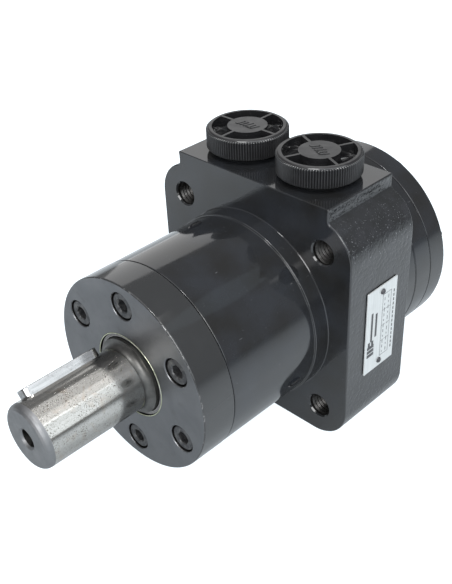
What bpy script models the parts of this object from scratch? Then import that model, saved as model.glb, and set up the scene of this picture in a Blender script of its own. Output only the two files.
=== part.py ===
"""Roller-gerotor hydraulic motor with a square flange, two ports on top and a keyed shaft.

The shaft runs along Y and points to -Y; the port face looks up, to +Z. The origin is on the
shaft axis, in the plane of the mounting flange's front face. Angles round the shaft are
measured from +Z towards +X, which is a positive turn about +Y.
"""

import math

import bmesh
import bpy
from mathutils import Matrix, Vector

MM = 0.001
GAP = 0.3 * MM  # kept between touching pieces
EDGE = 0.5 * MM  # small edge break on machined rims

# Outer shape
SHAFT_END = -140.8 * MM
COVER_FACE = -83.0 * MM
COVER_BACK = -64.4 * MM
PILOT_FRONT = -9.0 * MM
FLANGE_FACE = 0.0
BLOCK_REAR = 48.3 * MM
HOUSING_REAR = 67.6 * MM
STATOR_REAR = 81.3 * MM
END_REAR = 94.6 * MM
BODY_R = 49.9 * MM
COVER_R = 50.0 * MM
PILOT_R = 50.8 * MM
REAR_R = 54.9 * MM
FLANGE_HALF = 62.8 * MM
FLANGE_CORNER_R = 19.6 * MM
PORT_FACE_Z = 69.5 * MM
PORT_BLOCK_HALF = 48.8 * MM
FLANGE_HOLE_OFFSET = 46.0 * MM
FLANGE_HOLE_R = 6.2 * MM
FLANGE_HOLE_MOUTH_R = 6.9 * MM
FLANGE_HOLE_DEPTH = 26.0 * MM

# Shaft
SHAFT_R = 15.9 * MM
SHAFT_TIP_R = 14.1 * MM
SHAFT_EDGE = ((15.2 * MM, 1.0 * MM), (15.75 * MM, 2.1 * MM), (SHAFT_R, 3.1 * MM))
SHOULDER_FLARE = 3.6 * MM
SHOULDER_R = 19.5 * MM
SEAL_JOURNAL_R = 19.0 * MM
RACE_JOURNAL_R = 22.0 * MM
BELL_R = 26.0 * MM
BELL_REAR = 11.0 * MM
SHOULDER_FRONT = -84.0 * MM
KEY_ANGLE = math.radians(-42.0)
KEY_WIDTH = 10.0 * MM
KEY_LENGTH = 41.8 * MM
KEY_FRONT = -133.6 * MM
KEY_BOTTOM_R = 11.5 * MM
KEY_TOP_R = 19.5 * MM
TAP_R = 4.6 * MM
TAP_MOUTH_R = 5.7 * MM
TAP_DEPTH = 24.0 * MM

# Front cover
SCREW_COUNT = 6
SCREW_CIRCLE_R = 38.6 * MM
SCREW_HEAD_R = 6.5 * MM
SCREW_HEAD_HEIGHT = 8.0 * MM
SCREW_SHANK_R = 4.0 * MM
SCREW_SUNK = 0.7 * MM
SCREW_TIP = -46.0 * MM
HEX_SOCKET = 6.0 * MM
COUNTERBORE_R = 7.0 * MM
DUST_BORE_R = 22.0 * MM
SEAL_BORE_R = 27.0 * MM
SPIGOT_R = 32.2 * MM
SPIGOT_END = -59.4 * MM
SEAL_LIP_BORE_R = 20.2 * MM
O_RING_GROOVE = (-63.2 * MM, -60.8 * MM, 30.3 * MM)  # front, rear, floor radius
O_RING_INNER_R = 30.8 * MM

# Bearings, inside the housing's straight bore
BORE_R = 32.5 * MM
THRUST_FRONT = -59.1 * MM
WASHER_THICK = 1.5 * MM
THRUST_ROLLER_R = 1.4 * MM
RACE_FRONT = -51.9 * MM
RACE_REAR = -33.0 * MM
RACE_OUTER_R = 32.2 * MM
FRONT_ROLLERS = 14
FRONT_ROLLER_R = 2.1 * MM
REAR_ROLLERS = 16
REAR_ROLLER_R = 1.7 * MM
REAR_RACE_FRONT = -8.5 * MM
REAR_RACE_REAR = 8.5 * MM
THRUST_ROLLERS = 12

# Roller-gerotor set
LOBES = 6
ROLLERS = LOBES + 1
ROLLER_CIRCLE_R = 31.2 * MM
ROLLER_R = 5.8 * MM
ECCENTRICITY = 2.8 * MM
END_BOLT_CIRCLE_R = 45.7 * MM
END_BOLT_PHASE = math.radians(22.0)
END_BOLT_R = 4.0 * MM
END_BOLT_TIP = 48.0 * MM
HEX_HEAD = 11.0 * MM
HEX_HEAD_HEIGHT = 4.0 * MM
FIRST_BOLT_TURN = math.radians(30.0)
ROLLER_PHASE = END_BOLT_PHASE - math.pi / ROLLERS
PLATE_SEAT_R = 36.5 * MM
VALVE_SEAT_FRONT = 57.1 * MM
WEAR_SEAT_REAR = 85.1 * MM
SEAL_GROOVE = (38.1 * MM, 40.3 * MM, 1.6 * MM)  # inner radius, outer radius, depth

# Drive link, from the shaft's spline to the rotor's
SPLINE_TEETH = 12
LINK_FRONT = Vector((0.0, -6.0 * MM, 0.0))
LINK_REAR_Y = 74.1 * MM
CAVITY_R = 26.0 * MM

# Ports
PORT_X = 23.2 * MM
PORT_Y = 24.6 * MM
PORT_THREAD_R = 10.5 * MM
PORT_THREAD_FLOOR = 52.0 * MM
PORT_DRILL_R = 6.0 * MM
LEFT_PORT_FLOOR = 11.0 * MM
GALLERY_R = 5.0 * MM
GALLERY_Z = 26.0 * MM
PLUG_R = 20.9 * MM
PLUG_UNDERSIDE = 71.9 * MM
PLUG_TOP = 82.8 * MM
PLUG_TURN = {"left": 0.0, "right": math.radians(-24.0)}

# Nameplate on the +X side
PLATE_CENTRE = Vector((FLANGE_HALF, 24.9 * MM, -0.5 * MM))
PLATE_WIDTH = 23.6 * MM
PLATE_HEIGHT = 49.0 * MM
PLATE_THICK = 0.6 * MM
RIVET_OFFSET = 20.8 * MM
RIVET_R = 1.1 * MM

FINE, MEDIUM, COARSE, ROUGH = 40, 32, 20, 12  # facets round a circle


# ---------------------------------------------------------------- helpers


def around(angle, radius=1.0, y=0.0):
    """A point at an angle round the shaft axis."""
    return Vector((radius * math.sin(angle), y, radius * math.cos(angle)))


def material(name, colour, roughness, metallic):
    found = bpy.data.materials.get(name)
    if found:
        return found
    made = bpy.data.materials.new(name)
    made.use_nodes = True
    shader = made.node_tree.nodes["Principled BSDF"]
    shader.inputs["Base Color"].default_value = (*colour, 1.0)
    shader.inputs["Roughness"].default_value = roughness
    shader.inputs["Metallic"].default_value = metallic
    return made


PAINT = ("black_paint", (0.020, 0.021, 0.022), 0.22, 0.0)
COVER_STEEL = ("cover_steel", (0.20, 0.20, 0.21), 0.38, 1.0)
SHAFT_STEEL = ("shaft_steel", (0.55, 0.54, 0.52), 0.30, 1.0)
BLACK_OXIDE = ("black_oxide", (0.045, 0.046, 0.050), 0.42, 0.6)
HARD_STEEL = ("hard_steel", (0.50, 0.50, 0.50), 0.25, 1.0)
RUBBER = ("rubber", (0.018, 0.018, 0.018), 0.6, 0.0)
PLASTIC = ("black_plastic", (0.022, 0.023, 0.024), 0.35, 0.0)
PLATE_METAL = ("plate_aluminium", (0.80, 0.82, 0.83), 0.35, 0.3)


def node(name, mesh, look, smooth=True):
    """Turns a bmesh into a named object with its material."""
    data = bpy.data.meshes.new(name)
    bmesh.ops.recalc_face_normals(mesh, faces=mesh.faces)
    mesh.to_mesh(data)
    mesh.free()
    if look:
        data.materials.append(material(*look))
    if smooth:
        data.shade_smooth()
        data.set_sharp_from_angle(angle=math.radians(30))
    made = bpy.data.objects.new(name, data)
    bpy.context.scene.collection.objects.link(made)
    return made


def cutter(name, mesh):
    made = node(name, mesh, None, smooth=False)
    made.hide_render = True
    made.display_type = "WIRE"
    return made


def boolean(target, tool, operation="DIFFERENCE"):
    modifier = target.modifiers.new(tool.name, "BOOLEAN")
    modifier.operation = operation
    modifier.solver = "EXACT"
    modifier.object = tool


def turned(profile, facets=FINE, centre=(0.0, 0.0, 0.0), upright=False):
    """A closed (radius, height) outline spun round Y, or round Z if upright."""
    mesh = bmesh.new()
    points = [mesh.verts.new((radius, height, 0.0)) for radius, height in profile]
    edges = [mesh.edges.new((a, b)) for a, b in zip(points, points[1:] + points[:1])]
    bmesh.ops.spin(
        mesh,
        geom=points + edges,
        cent=(0.0, 0.0, 0.0),
        axis=(0.0, 1.0, 0.0),
        angle=2 * math.pi,
        steps=facets,
        use_merge=True,
    )
    bmesh.ops.remove_doubles(mesh, verts=mesh.verts, dist=1e-7)
    on_axis = [edge for edge in mesh.edges if not edge.link_faces]
    bmesh.ops.delete(mesh, geom=on_axis, context="EDGES")
    if upright:
        mesh.transform(Matrix.Rotation(math.pi / 2, 4, "X"))
    mesh.transform(Matrix.Translation(centre))
    return mesh


def ring(inner, outer, front, rear, facets=FINE):
    """A plain ring round the shaft axis."""
    profile = [(inner, front), (outer, front), (outer, rear), (inner, rear)]
    return turned(profile, facets)


def rod(radius, front, rear, facets=ROUGH, centre=(0.0, 0.0, 0.0), upright=False):
    """A plain cylinder along Y, or along Z if upright."""
    return turned(
        [(0.0, front), (radius, front), (radius, rear), (0.0, rear)],
        facets,
        centre,
        upright,
    )


def prism(outline, front, rear):
    """An (x, z) outline drawn out along Y."""
    mesh = bmesh.new()
    face = mesh.faces.new([mesh.verts.new((x, front, z)) for x, z in outline])
    grown = bmesh.ops.extrude_face_region(mesh, geom=[face])["geom"]
    moved = [v for v in grown if isinstance(v, bmesh.types.BMVert)]
    bmesh.ops.translate(mesh, verts=moved, vec=(0.0, rear - front, 0.0))
    return mesh


def box(centre, size):
    mesh = bmesh.new()
    bmesh.ops.create_cube(mesh, size=1.0)
    mesh.transform(Matrix.Translation(centre) @ Matrix.Diagonal((*size, 1.0)))
    return mesh


def joined(meshes):
    """Several bmeshes in one, each still a body of its own."""
    whole = bmesh.new()
    for mesh in meshes:
        piece = bpy.data.meshes.new("piece")
        mesh.to_mesh(piece)
        mesh.free()
        whole.from_mesh(piece)
        bpy.data.meshes.remove(piece)
    return whole


def copies_around(make, count, phase=0.0):
    """Bodies made by make() at +Z and repeated round the shaft axis, in one mesh."""
    meshes = []
    for k in range(count):
        mesh = make()
        mesh.transform(Matrix.Rotation(phase + 2 * math.pi * k / count, 4, "Y"))
        meshes.append(mesh)
    return joined(meshes)


def fasteners_around(name, mesh, look, count, circle_r, phase=0.0):
    """Separate objects that share one mesh, set on a circle round the shaft axis."""
    fasteners = [node(name + "_1", mesh, look)]
    for k in range(1, count):
        fasteners.append(bpy.data.objects.new(f"{name}_{k + 1}", fasteners[0].data))
        bpy.context.scene.collection.objects.link(fasteners[k])
    for k, made in enumerate(fasteners):
        angle = phase + 2 * math.pi * k / count
        made.location = around(angle, circle_r)
        made.rotation_euler.y = angle


def lofted(loops, closed=False):
    """A skin over loops of equal length, capped at both ends or joined back to its start."""
    mesh = bmesh.new()
    rings = [[mesh.verts.new(point) for point in loop] for loop in loops]
    for first, second in zip(rings, rings[1:] + rings[: int(closed)]):
        for k, corner in enumerate(first):
            n = (k + 1) % len(first)
            mesh.faces.new((corner, first[n], second[n], second[k]))
    if not closed:
        mesh.faces.new(rings[0])
        mesh.faces.new(rings[-1])
    return mesh


def drawn_out(outer, inner, front, rear):
    """A tube along Y between an outer and an inner loop of equal length."""

    def at(loop, y):
        return [point + Vector((0.0, y, 0.0)) for point in loop]

    loops = [at(outer, front), at(outer, rear), at(inner, rear), at(inner, front)]
    return lofted(loops, closed=True)


def round_loop(radius, y, points):
    return [around(2 * math.pi * k / points, radius, y) for k in range(points)]


def hex_loop(across_flats, y, points):
    """A hexagon with a corner at angle 0 and points spread evenly over its sides."""
    loop = []
    for k in range(points):
        turn = 2 * math.pi * k / points
        from_flat = (turn % (math.pi / 3)) - math.pi / 6
        loop.append(around(turn, across_flats / 2 / math.cos(from_flat), y))
    return loop


def arc(centre, radius, start, end, steps):
    """Points on an arc in the XZ plane, its angles measured from +X towards +Z."""
    cx, cz = centre
    return [
        (cx + radius * math.cos(a), cz + radius * math.sin(a))
        for a in (start + (end - start) * k / steps for k in range(steps + 1))
    ]


def capsule(length, width, steps=8):
    """Outline of a round-ended slot: (along, across) points, centred."""
    r = width / 2
    right = arc((length / 2 - r, 0.0), r, -math.pi / 2, math.pi / 2, steps)
    left = arc((r - length / 2, 0.0), r, math.pi / 2, 3 * math.pi / 2, steps)
    return right + left


def spline_outline(root_r, tip_r, root_half, tip_half):
    """A splined section: SPLINE_TEETH teeth pointing outward."""
    points = []
    for k in range(SPLINE_TEETH):
        middle = 2 * math.pi * k / SPLINE_TEETH
        for offset, radius in (
            (-root_half, root_r),
            (-tip_half, tip_r),
            (tip_half, tip_r),
            (root_half, root_r),
        ):
            point = around(middle + offset, radius)
            points.append((point.x, point.z))
    return points


def spline_hole():
    """The splined opening that takes the drive link, wider than its teeth all round."""
    return spline_outline(10.9 * MM, 12.7 * MM, math.radians(11.2), math.radians(7.2))


# ---------------------------------------------------------------- housing


def flange_outline():
    """Square flange with round corners, and the narrower port block on top of it."""
    c = FLANGE_HALF - FLANGE_CORNER_R
    foot = math.acos((PORT_BLOCK_HALF - c) / FLANGE_CORNER_R)
    right = arc((c, -c), FLANGE_CORNER_R, -math.pi / 2, 0.0, 8)
    right += arc((c, c), FLANGE_CORNER_R, 0.0, foot, 7)
    right += [(PORT_BLOCK_HALF, PORT_FACE_Z)]
    return right + [(-x, z) for x, z in reversed(right)]


def flange_hole(x, z):
    """A flat-bottomed tapping hole with a chamfered mouth in the flange's face."""
    chamfer = FLANGE_HOLE_MOUTH_R - FLANGE_HOLE_R
    clear = 2.0 * MM
    profile = [
        (0.0, FLANGE_FACE - clear),
        (FLANGE_HOLE_MOUTH_R + clear, FLANGE_FACE - clear),
        (FLANGE_HOLE_R, FLANGE_FACE + chamfer),
        (FLANGE_HOLE_R, FLANGE_FACE + FLANGE_HOLE_DEPTH),
        (0.0, FLANGE_FACE + FLANGE_HOLE_DEPTH),
    ]
    return turned(profile, 16, (x, 0.0, z))


def flange_block():
    """The flange and port block, hollow inside so that the housing's tube passes through."""
    outline = flange_outline()
    inside_wall = 42.0 * MM
    outer = [Vector((x, 0.0, z)) for x, z in outline]
    inner = [point.normalized() * inside_wall for point in outer]
    return drawn_out(outer, inner, FLANGE_FACE, BLOCK_REAR)


def housing():
    front = COVER_BACK + GAP
    rear = HOUSING_REAR - GAP / 2
    inside_block = 20.0 * MM
    groove_in, groove_out, groove_depth = SEAL_GROOVE
    body = node(
        "housing",
        turned(
            [
                (BORE_R, front),
                (BODY_R, front),
                (BODY_R, PILOT_FRONT),
                (PILOT_R - EDGE, PILOT_FRONT),
                (PILOT_R, PILOT_FRONT + EDGE),
                (PILOT_R, inside_block),
                (REAR_R, inside_block),
                (REAR_R, rear),
                (groove_out, rear),
                (groove_out, rear - groove_depth),
                (groove_in, rear - groove_depth),
                (groove_in, rear),
                (PLATE_SEAT_R, rear),
                (PLATE_SEAT_R, VALVE_SEAT_FRONT),
                (CAVITY_R, VALVE_SEAT_FRONT),
                (CAVITY_R, BELL_REAR + 5.0 * MM),
                (BORE_R, BELL_REAR - 1.0 * MM),
            ]
        ),
        PAINT,
    )
    boolean(body, cutter("flange_block", flange_block()), "UNION")

    clear = 5.0 * MM
    offset = FLANGE_HOLE_OFFSET
    holes = [flange_hole(x, z) for x in (-offset, offset) for z in (-offset, offset)]
    for k in range(SCREW_COUNT):
        spot = around(2 * math.pi * k / SCREW_COUNT, SCREW_CIRCLE_R)
        tip = SCREW_TIP + 2.0 * MM
        holes.append(rod(SCREW_SHANK_R + GAP, front - clear, tip, centre=spot))
    for k in range(ROLLERS):
        spot = around(END_BOLT_PHASE + 2 * math.pi * k / ROLLERS, END_BOLT_CIRCLE_R)
        tip = END_BOLT_TIP - 2.0 * MM
        holes.append(rod(END_BOLT_R + GAP, tip, rear + clear, centre=spot))
    for side in (-1, 1):
        z = PLATE_CENTRE.z + side * RIVET_OFFSET
        pin = rod(RIVET_R + GAP, -6.0 * MM, 6.0 * MM, 8)
        pin.transform(Matrix.Rotation(math.pi / 2, 4, "Z"))
        pin.transform(Matrix.Translation((FLANGE_HALF, PLATE_CENTRE.y, z)))
        holes.append(pin)
    boolean(body, cutter("housing_holes", joined(holes)))

    for side, floor in ((-1, LEFT_PORT_FLOOR), (1, GALLERY_Z - 2.0 * MM)):
        port = turned(
            [
                (0.0, floor),
                (PORT_DRILL_R, floor),
                (PORT_DRILL_R, PORT_THREAD_FLOOR),
                (PORT_THREAD_R, PORT_THREAD_FLOOR),
                (PORT_THREAD_R, PORT_FACE_Z + clear),
                (0.0, PORT_FACE_Z + clear),
            ],
            COARSE,
            (side * PORT_X, PORT_Y, 0.0),
            upright=True,
        )
        boolean(body, cutter("port_bore_" + ("left" if side < 0 else "right"), port))
    gallery = rod(
        GALLERY_R,
        PORT_Y,
        VALVE_SEAT_FRONT + 1.0 * MM,
        centre=(PORT_X, 0.0, GALLERY_Z),
    )
    boolean(body, cutter("port_gallery", gallery))


# ---------------------------------------------------------------- front cover


def front_cover():
    rear = COVER_BACK
    step = -77.5 * MM
    seal_front = -75.5 * MM
    groove_front, groove_rear, groove_r = O_RING_GROOVE
    cover = node(
        "front_cover",
        turned(
            [
                (DUST_BORE_R, COVER_FACE),
                (COVER_R - EDGE, COVER_FACE),
                (COVER_R, COVER_FACE + EDGE),
                (COVER_R, rear),
                (SPIGOT_R, rear),
                (SPIGOT_R, groove_front),
                (groove_r, groove_front),
                (groove_r, groove_rear),
                (SPIGOT_R, groove_rear),
                (SPIGOT_R, SPIGOT_END),
                (SEAL_BORE_R, SPIGOT_END),
                (SEAL_BORE_R, seal_front),
                (SEAL_LIP_BORE_R, seal_front),
                (SEAL_LIP_BORE_R, step),
                (DUST_BORE_R, step),
            ]
        ),
        COVER_STEEL,
    )
    clear = 3.0 * MM
    seat = COVER_FACE + SCREW_SUNK + SCREW_HEAD_HEIGHT + GAP

    def screw_hole():
        profile = [
            (0.0, COVER_FACE - clear),
            (COUNTERBORE_R, COVER_FACE - clear),
            (COUNTERBORE_R, seat),
            (SCREW_SHANK_R + GAP, seat),
            (SCREW_SHANK_R + GAP, rear + clear),
            (0.0, rear + clear),
        ]
        return turned(profile, 18, (0.0, 0.0, SCREW_CIRCLE_R))

    holes = copies_around(screw_hole, SCREW_COUNT)
    boolean(cover, cutter("cover_screw_holes", holes))
    front, rear = groove_front + GAP, groove_rear - GAP
    seal = ring(O_RING_INNER_R, SPIGOT_R - GAP, front, rear, COARSE)
    node("cover_o_ring", seal, RUBBER)


def front_cover_screws():
    """Six socket head cap screws; each starts at its socket floor and ends at its tip."""
    top = COVER_FACE + SCREW_SUNK
    seat = top + SCREW_HEAD_HEIGHT
    n = 12
    mesh = lofted(
        [
            hex_loop(HEX_SOCKET, top + 4.0 * MM, n),
            hex_loop(HEX_SOCKET, top, n),
            round_loop(SCREW_HEAD_R - EDGE, top, n),
            round_loop(SCREW_HEAD_R, top + EDGE, n),
            round_loop(SCREW_HEAD_R, seat, n),
            round_loop(SCREW_SHANK_R, seat, n),
            round_loop(SCREW_SHANK_R, SCREW_TIP, n),
        ]
    )
    fasteners_around(
        "front_cover_screw", mesh, BLACK_OXIDE, SCREW_COUNT, SCREW_CIRCLE_R
    )


def shaft_seals():
    """Dust wiper at the mouth, then the pressure seal, its backup ring and a spacer."""
    mouth = -82.2 * MM
    heel = -77.9 * MM
    lip = SHOULDER_R + GAP
    node(
        "dust_seal",
        turned(
            [
                (lip, mouth),
                (lip + 0.9 * MM, mouth),
                (lip + 1.2 * MM, mouth + 1.2 * MM),
                (DUST_BORE_R - GAP, mouth + 0.8 * MM),
                (DUST_BORE_R - GAP, heel),
                (lip, heel),
            ],
            MEDIUM,
        ),
        RUBBER,
    )
    lip = SEAL_JOURNAL_R + GAP
    outer = SEAL_BORE_R - GAP
    node(
        "shaft_seal",
        turned(
            [
                (lip, -74.6 * MM),
                (lip + 1.0 * MM, -75.2 * MM),
                (outer, -75.2 * MM),
                (outer, -68.0 * MM),
                (lip + 4.0 * MM, -68.0 * MM),
                (lip + 3.0 * MM, -72.0 * MM),
                (lip, -71.0 * MM),
            ],
            COARSE,
        ),
        RUBBER,
    )
    backup = ring(lip + 0.5 * MM, outer, -67.7 * MM, -65.7 * MM, COARSE)
    node("seal_backup_ring", backup, HARD_STEEL)
    spacer = ring(lip + 2.5 * MM, outer, -65.4 * MM, SPIGOT_END - GAP, COARSE)
    node("seal_spacer", spacer, HARD_STEEL)


# ---------------------------------------------------------------- shaft and bearings


def output_shaft():
    tap_floor = SHAFT_END + TAP_DEPTH
    tap_chamfer = TAP_MOUTH_R - TAP_R
    spline_front = -16.0 * MM
    spline_rear = 5.0 * MM
    edge = [(radius, SHAFT_END + back) for radius, back in SHAFT_EDGE]
    flare = []
    for k in range(7):
        turn = k / 6 * math.pi / 2
        along = SHOULDER_FRONT - SHOULDER_FLARE * (1 - math.sin(turn))
        flare.append((SHOULDER_R - SHOULDER_FLARE * math.cos(turn), along))
    shaft = node(
        "output_shaft",
        turned(
            [
                (0.0, tap_floor),
                (TAP_R, tap_floor),
                (TAP_R, SHAFT_END + tap_chamfer),
                (TAP_MOUTH_R, SHAFT_END),
                (SHAFT_TIP_R, SHAFT_END),
                *edge,
                *flare,
                (SHOULDER_R, -77.0 * MM),
                (SEAL_JOURNAL_R, -77.0 * MM),
                (SEAL_JOURNAL_R, -52.2 * MM),
                (RACE_JOURNAL_R, -52.2 * MM),
                (RACE_JOURNAL_R, RACE_REAR + GAP),
                (BELL_R, RACE_REAR + GAP),
                (BELL_R, BELL_REAR),
                (14.5 * MM, BELL_REAR),
                (13.2 * MM, spline_rear),
                (10.0 * MM, spline_rear),
                (10.0 * MM, spline_front - 2.0 * MM),
                (0.0, spline_front - 4.0 * MM),
            ],
            MEDIUM,
        ),
        SHAFT_STEEL,
    )
    splines = prism(spline_hole(), spline_front, spline_rear + 2.0 * MM)
    boolean(shaft, cutter("shaft_splines", splines))

    middle = KEY_FRONT + KEY_LENGTH / 2
    slot = capsule(KEY_LENGTH + 2 * GAP, KEY_WIDTH + 2 * GAP)
    boolean(
        shaft, cutter("keyway", key_shape(slot, middle, KEY_BOTTOM_R, SHOULDER_R, 0.0))
    )
    key = capsule(KEY_LENGTH, KEY_WIDTH)
    bottom = KEY_BOTTOM_R + GAP
    node("shaft_key", key_shape(key, middle, bottom, KEY_TOP_R, 0.4 * MM), SHAFT_STEEL)


def key_shape(outline, middle, bottom, top, chamfer):
    """A round-ended bar lying along the shaft, between two radii, at the key's angle."""
    mesh = bmesh.new()
    ground = mesh.faces.new(
        [mesh.verts.new((across, middle + along, bottom)) for along, across in outline]
    )
    grown = bmesh.ops.extrude_face_region(mesh, geom=[ground])["geom"]
    moved = [v for v in grown if isinstance(v, bmesh.types.BMVert)]
    bmesh.ops.translate(mesh, verts=moved, vec=(0.0, 0.0, top - bottom))
    if chamfer:
        rim = [e for e in mesh.edges if all(v.co.z > top - 1e-6 for v in e.verts)]
        bmesh.ops.bevel(mesh, geom=rim, offset=chamfer, segments=1, affect="EDGES")
    mesh.transform(Matrix.Rotation(KEY_ANGLE, 4, "Y"))
    return mesh


def caged_rollers(name, count, roller_r, circle_r, front, rear):
    """A radial bearing's rollers as one piece with the cage's bars between them."""
    bar_half = 0.6 * MM
    reach = math.acos(bar_half / roller_r)
    steps = 3
    outer, inner = [], []
    for k in range(count):
        angle = 2 * math.pi * k / count
        middle = around(angle, circle_r)
        for j in range(steps + 1):
            turn = reach * (2 * j / steps - 1)
            outer.append(middle + around(angle + turn, roller_r))
            inner.append(middle + around(angle + math.pi - turn, roller_r))

    bars = drawn_out(outer, inner, front + GAP, rear - GAP)
    node(name, bars, HARD_STEEL)


def radial_bearings():
    race_inner_r = RACE_JOURNAL_R + GAP
    circle_r = 27.4 * MM
    track_inner_r = circle_r - FRONT_ROLLER_R - GAP
    track_outer_r = circle_r + FRONT_ROLLER_R + GAP
    race = ring(race_inner_r, track_inner_r, RACE_FRONT, RACE_REAR, MEDIUM)
    node("front_bearing_inner_race", race, HARD_STEEL)
    race = ring(track_outer_r, RACE_OUTER_R, RACE_FRONT, RACE_REAR, MEDIUM)
    node("front_bearing_outer_race", race, HARD_STEEL)
    caged_rollers(
        "front_bearing_rollers",
        FRONT_ROLLERS,
        FRONT_ROLLER_R,
        circle_r,
        RACE_FRONT,
        RACE_REAR,
    )
    circle_r = BELL_R + REAR_ROLLER_R + GAP
    track_outer_r = circle_r + REAR_ROLLER_R + GAP
    race = ring(track_outer_r, RACE_OUTER_R, REAR_RACE_FRONT, REAR_RACE_REAR, MEDIUM)
    node("rear_bearing_outer_race", race, HARD_STEEL)
    caged_rollers(
        "rear_bearing_rollers",
        REAR_ROLLERS,
        REAR_ROLLER_R,
        circle_r,
        REAR_RACE_FRONT,
        REAR_RACE_REAR,
    )


def thrust_bearing():
    """Two washers, and between them a flat cage with radial rollers set into it."""
    inner, outer = 19.5 * MM, 31.0 * MM
    front = THRUST_FRONT
    washer = ring(inner, outer, front, front + WASHER_THICK, COARSE)
    node("thrust_washer_front", washer, HARD_STEEL)
    middle = front + WASHER_THICK + GAP + THRUST_ROLLER_R
    rear = middle + THRUST_ROLLER_R + GAP
    washer = ring(inner, outer, rear, rear + WASHER_THICK, COARSE)
    node("thrust_washer_rear", washer, HARD_STEEL)
    end = 1.5 * MM
    cage_half = 0.7 * MM

    def roller():
        mesh = rod(THRUST_ROLLER_R, inner + end, outer - end, 6, upright=True)
        mesh.transform(Matrix.Translation((0.0, middle, 0.0)))
        return mesh

    cage = ring(inner, outer, middle - cage_half, middle + cage_half, COARSE)
    cage = node("thrust_bearing_rollers", cage, HARD_STEEL)
    rollers = copies_around(roller, THRUST_ROLLERS, math.pi / COARSE)
    boolean(cage, cutter("thrust_roller_set", rollers), "UNION")


# ---------------------------------------------------------------- roller-gerotor set


def rotor_outline():
    """Six-lobed outline that keeps GAP to every stator roller as it turns and orbits.

    A roller's centre traces circle - eccentricity in the rotor's frame; the outline is
    that curve moved inward by the roller's radius and the gap.
    """
    steps = LOBES * 14
    inward = ROLLER_R + GAP
    points = []
    for k in range(steps):
        s = 2 * math.pi * k / steps
        path = around(s, ROLLER_CIRCLE_R) - around(ROLLERS * s, ECCENTRICITY)
        a, b = s + math.pi / 2, ROLLERS * s + math.pi / 2
        along = around(a, ROLLER_CIRCLE_R) - around(b, ROLLERS * ECCENTRICITY)
        outward = Vector((-along.z, 0.0, along.x)).normalized()
        if outward.dot(path) < 0:
            outward.negate()
        point = path - outward * inward
        points.append((point.x, point.z))
    return points


def gerotor_set():
    front = HOUSING_REAR + GAP / 2
    rear = STATOR_REAR - GAP / 2
    stator = node(
        "stator_ring",
        ring(ROLLER_CIRCLE_R, REAR_R, front, rear),
        PAINT,
    )
    pocket_r = ROLLER_R + GAP
    clear = 3.0 * MM

    def pocket():
        centre = (0.0, 0.0, ROLLER_CIRCLE_R)
        return rod(pocket_r, front - clear, rear + clear, 18, centre)

    def bolt_hole():
        centre = (0.0, 0.0, END_BOLT_CIRCLE_R)
        return rod(END_BOLT_R + GAP, front - clear, rear + clear, centre=centre)

    pockets = joined(
        [
            copies_around(pocket, ROLLERS, ROLLER_PHASE),
            copies_around(bolt_hole, ROLLERS, END_BOLT_PHASE),
        ]
    )
    boolean(stator, cutter("stator_pockets", pockets))

    for k in range(ROLLERS):
        angle = ROLLER_PHASE + 2 * math.pi * k / ROLLERS
        roller = rod(ROLLER_R, front + GAP, rear - GAP, 18)
        roller = node(f"stator_roller_{k + 1}", roller, HARD_STEEL)
        roller.location = around(angle, ROLLER_CIRCLE_R)

    orbit = around(ROLLER_PHASE, ECCENTRICITY)
    outline = prism(rotor_outline(), front + GAP, rear - GAP)
    outline.transform(Matrix.Rotation(ROLLER_PHASE, 4, "Y"))
    rotor = node("rotor", outline, HARD_STEEL)
    rotor.location = orbit
    spacer_front = rear - 2.4 * MM
    opening = cutter("rotor_splines", prism(spline_hole(), front - clear, rear))
    opening.parent = rotor
    boolean(rotor, opening)
    pocket_r = 13.4 * MM
    recess = cutter("rotor_recess", rod(pocket_r, spacer_front, rear + clear, MEDIUM))
    recess.parent = rotor
    boolean(rotor, recess)
    spacer = rod(pocket_r - GAP, spacer_front + GAP, rear - GAP, MEDIUM)
    spacer = node("drive_spacer", spacer, HARD_STEEL)
    spacer.location = orbit


def drive_link():
    """Dog-bone link with a barrel-shaped spline at each end, tilted to follow the rotor."""
    axis = around(ROLLER_PHASE, ECCENTRICITY, LINK_REAR_Y) - LINK_FRONT
    tooth = spline_outline(10.2 * MM, 12.0 * MM, math.radians(8.6), math.radians(4.6))
    neck = 3.0 * MM
    shank_r = 8.4 * MM

    def spline(centre, half):
        loops = []
        for share in (-1.0, 0.0, 1.0):
            crown = 1.0 - 0.045 * share * share
            y = centre + share * half
            loops.append([(x * crown, y, z * crown) for x, z in tooth])
        return loops

    def shank(y):
        flat = [Vector((x, 0.0, z)).normalized() * shank_r for x, z in tooth]
        return [point + Vector((0.0, y, 0.0)) for point in flat]

    front_half, rear_half = 8.0 * MM, 4.2 * MM
    loops = spline(0.0, front_half)
    loops += [shank(front_half + neck), shank(axis.length - rear_half - neck)]
    loops += spline(axis.length, rear_half)
    link = node("drive_link", lofted(loops), HARD_STEEL)
    link.location = LINK_FRONT
    link.rotation_mode = "QUATERNION"
    link.rotation_quaternion = Vector((0.0, 1.0, 0.0)).rotation_difference(axis)


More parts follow.
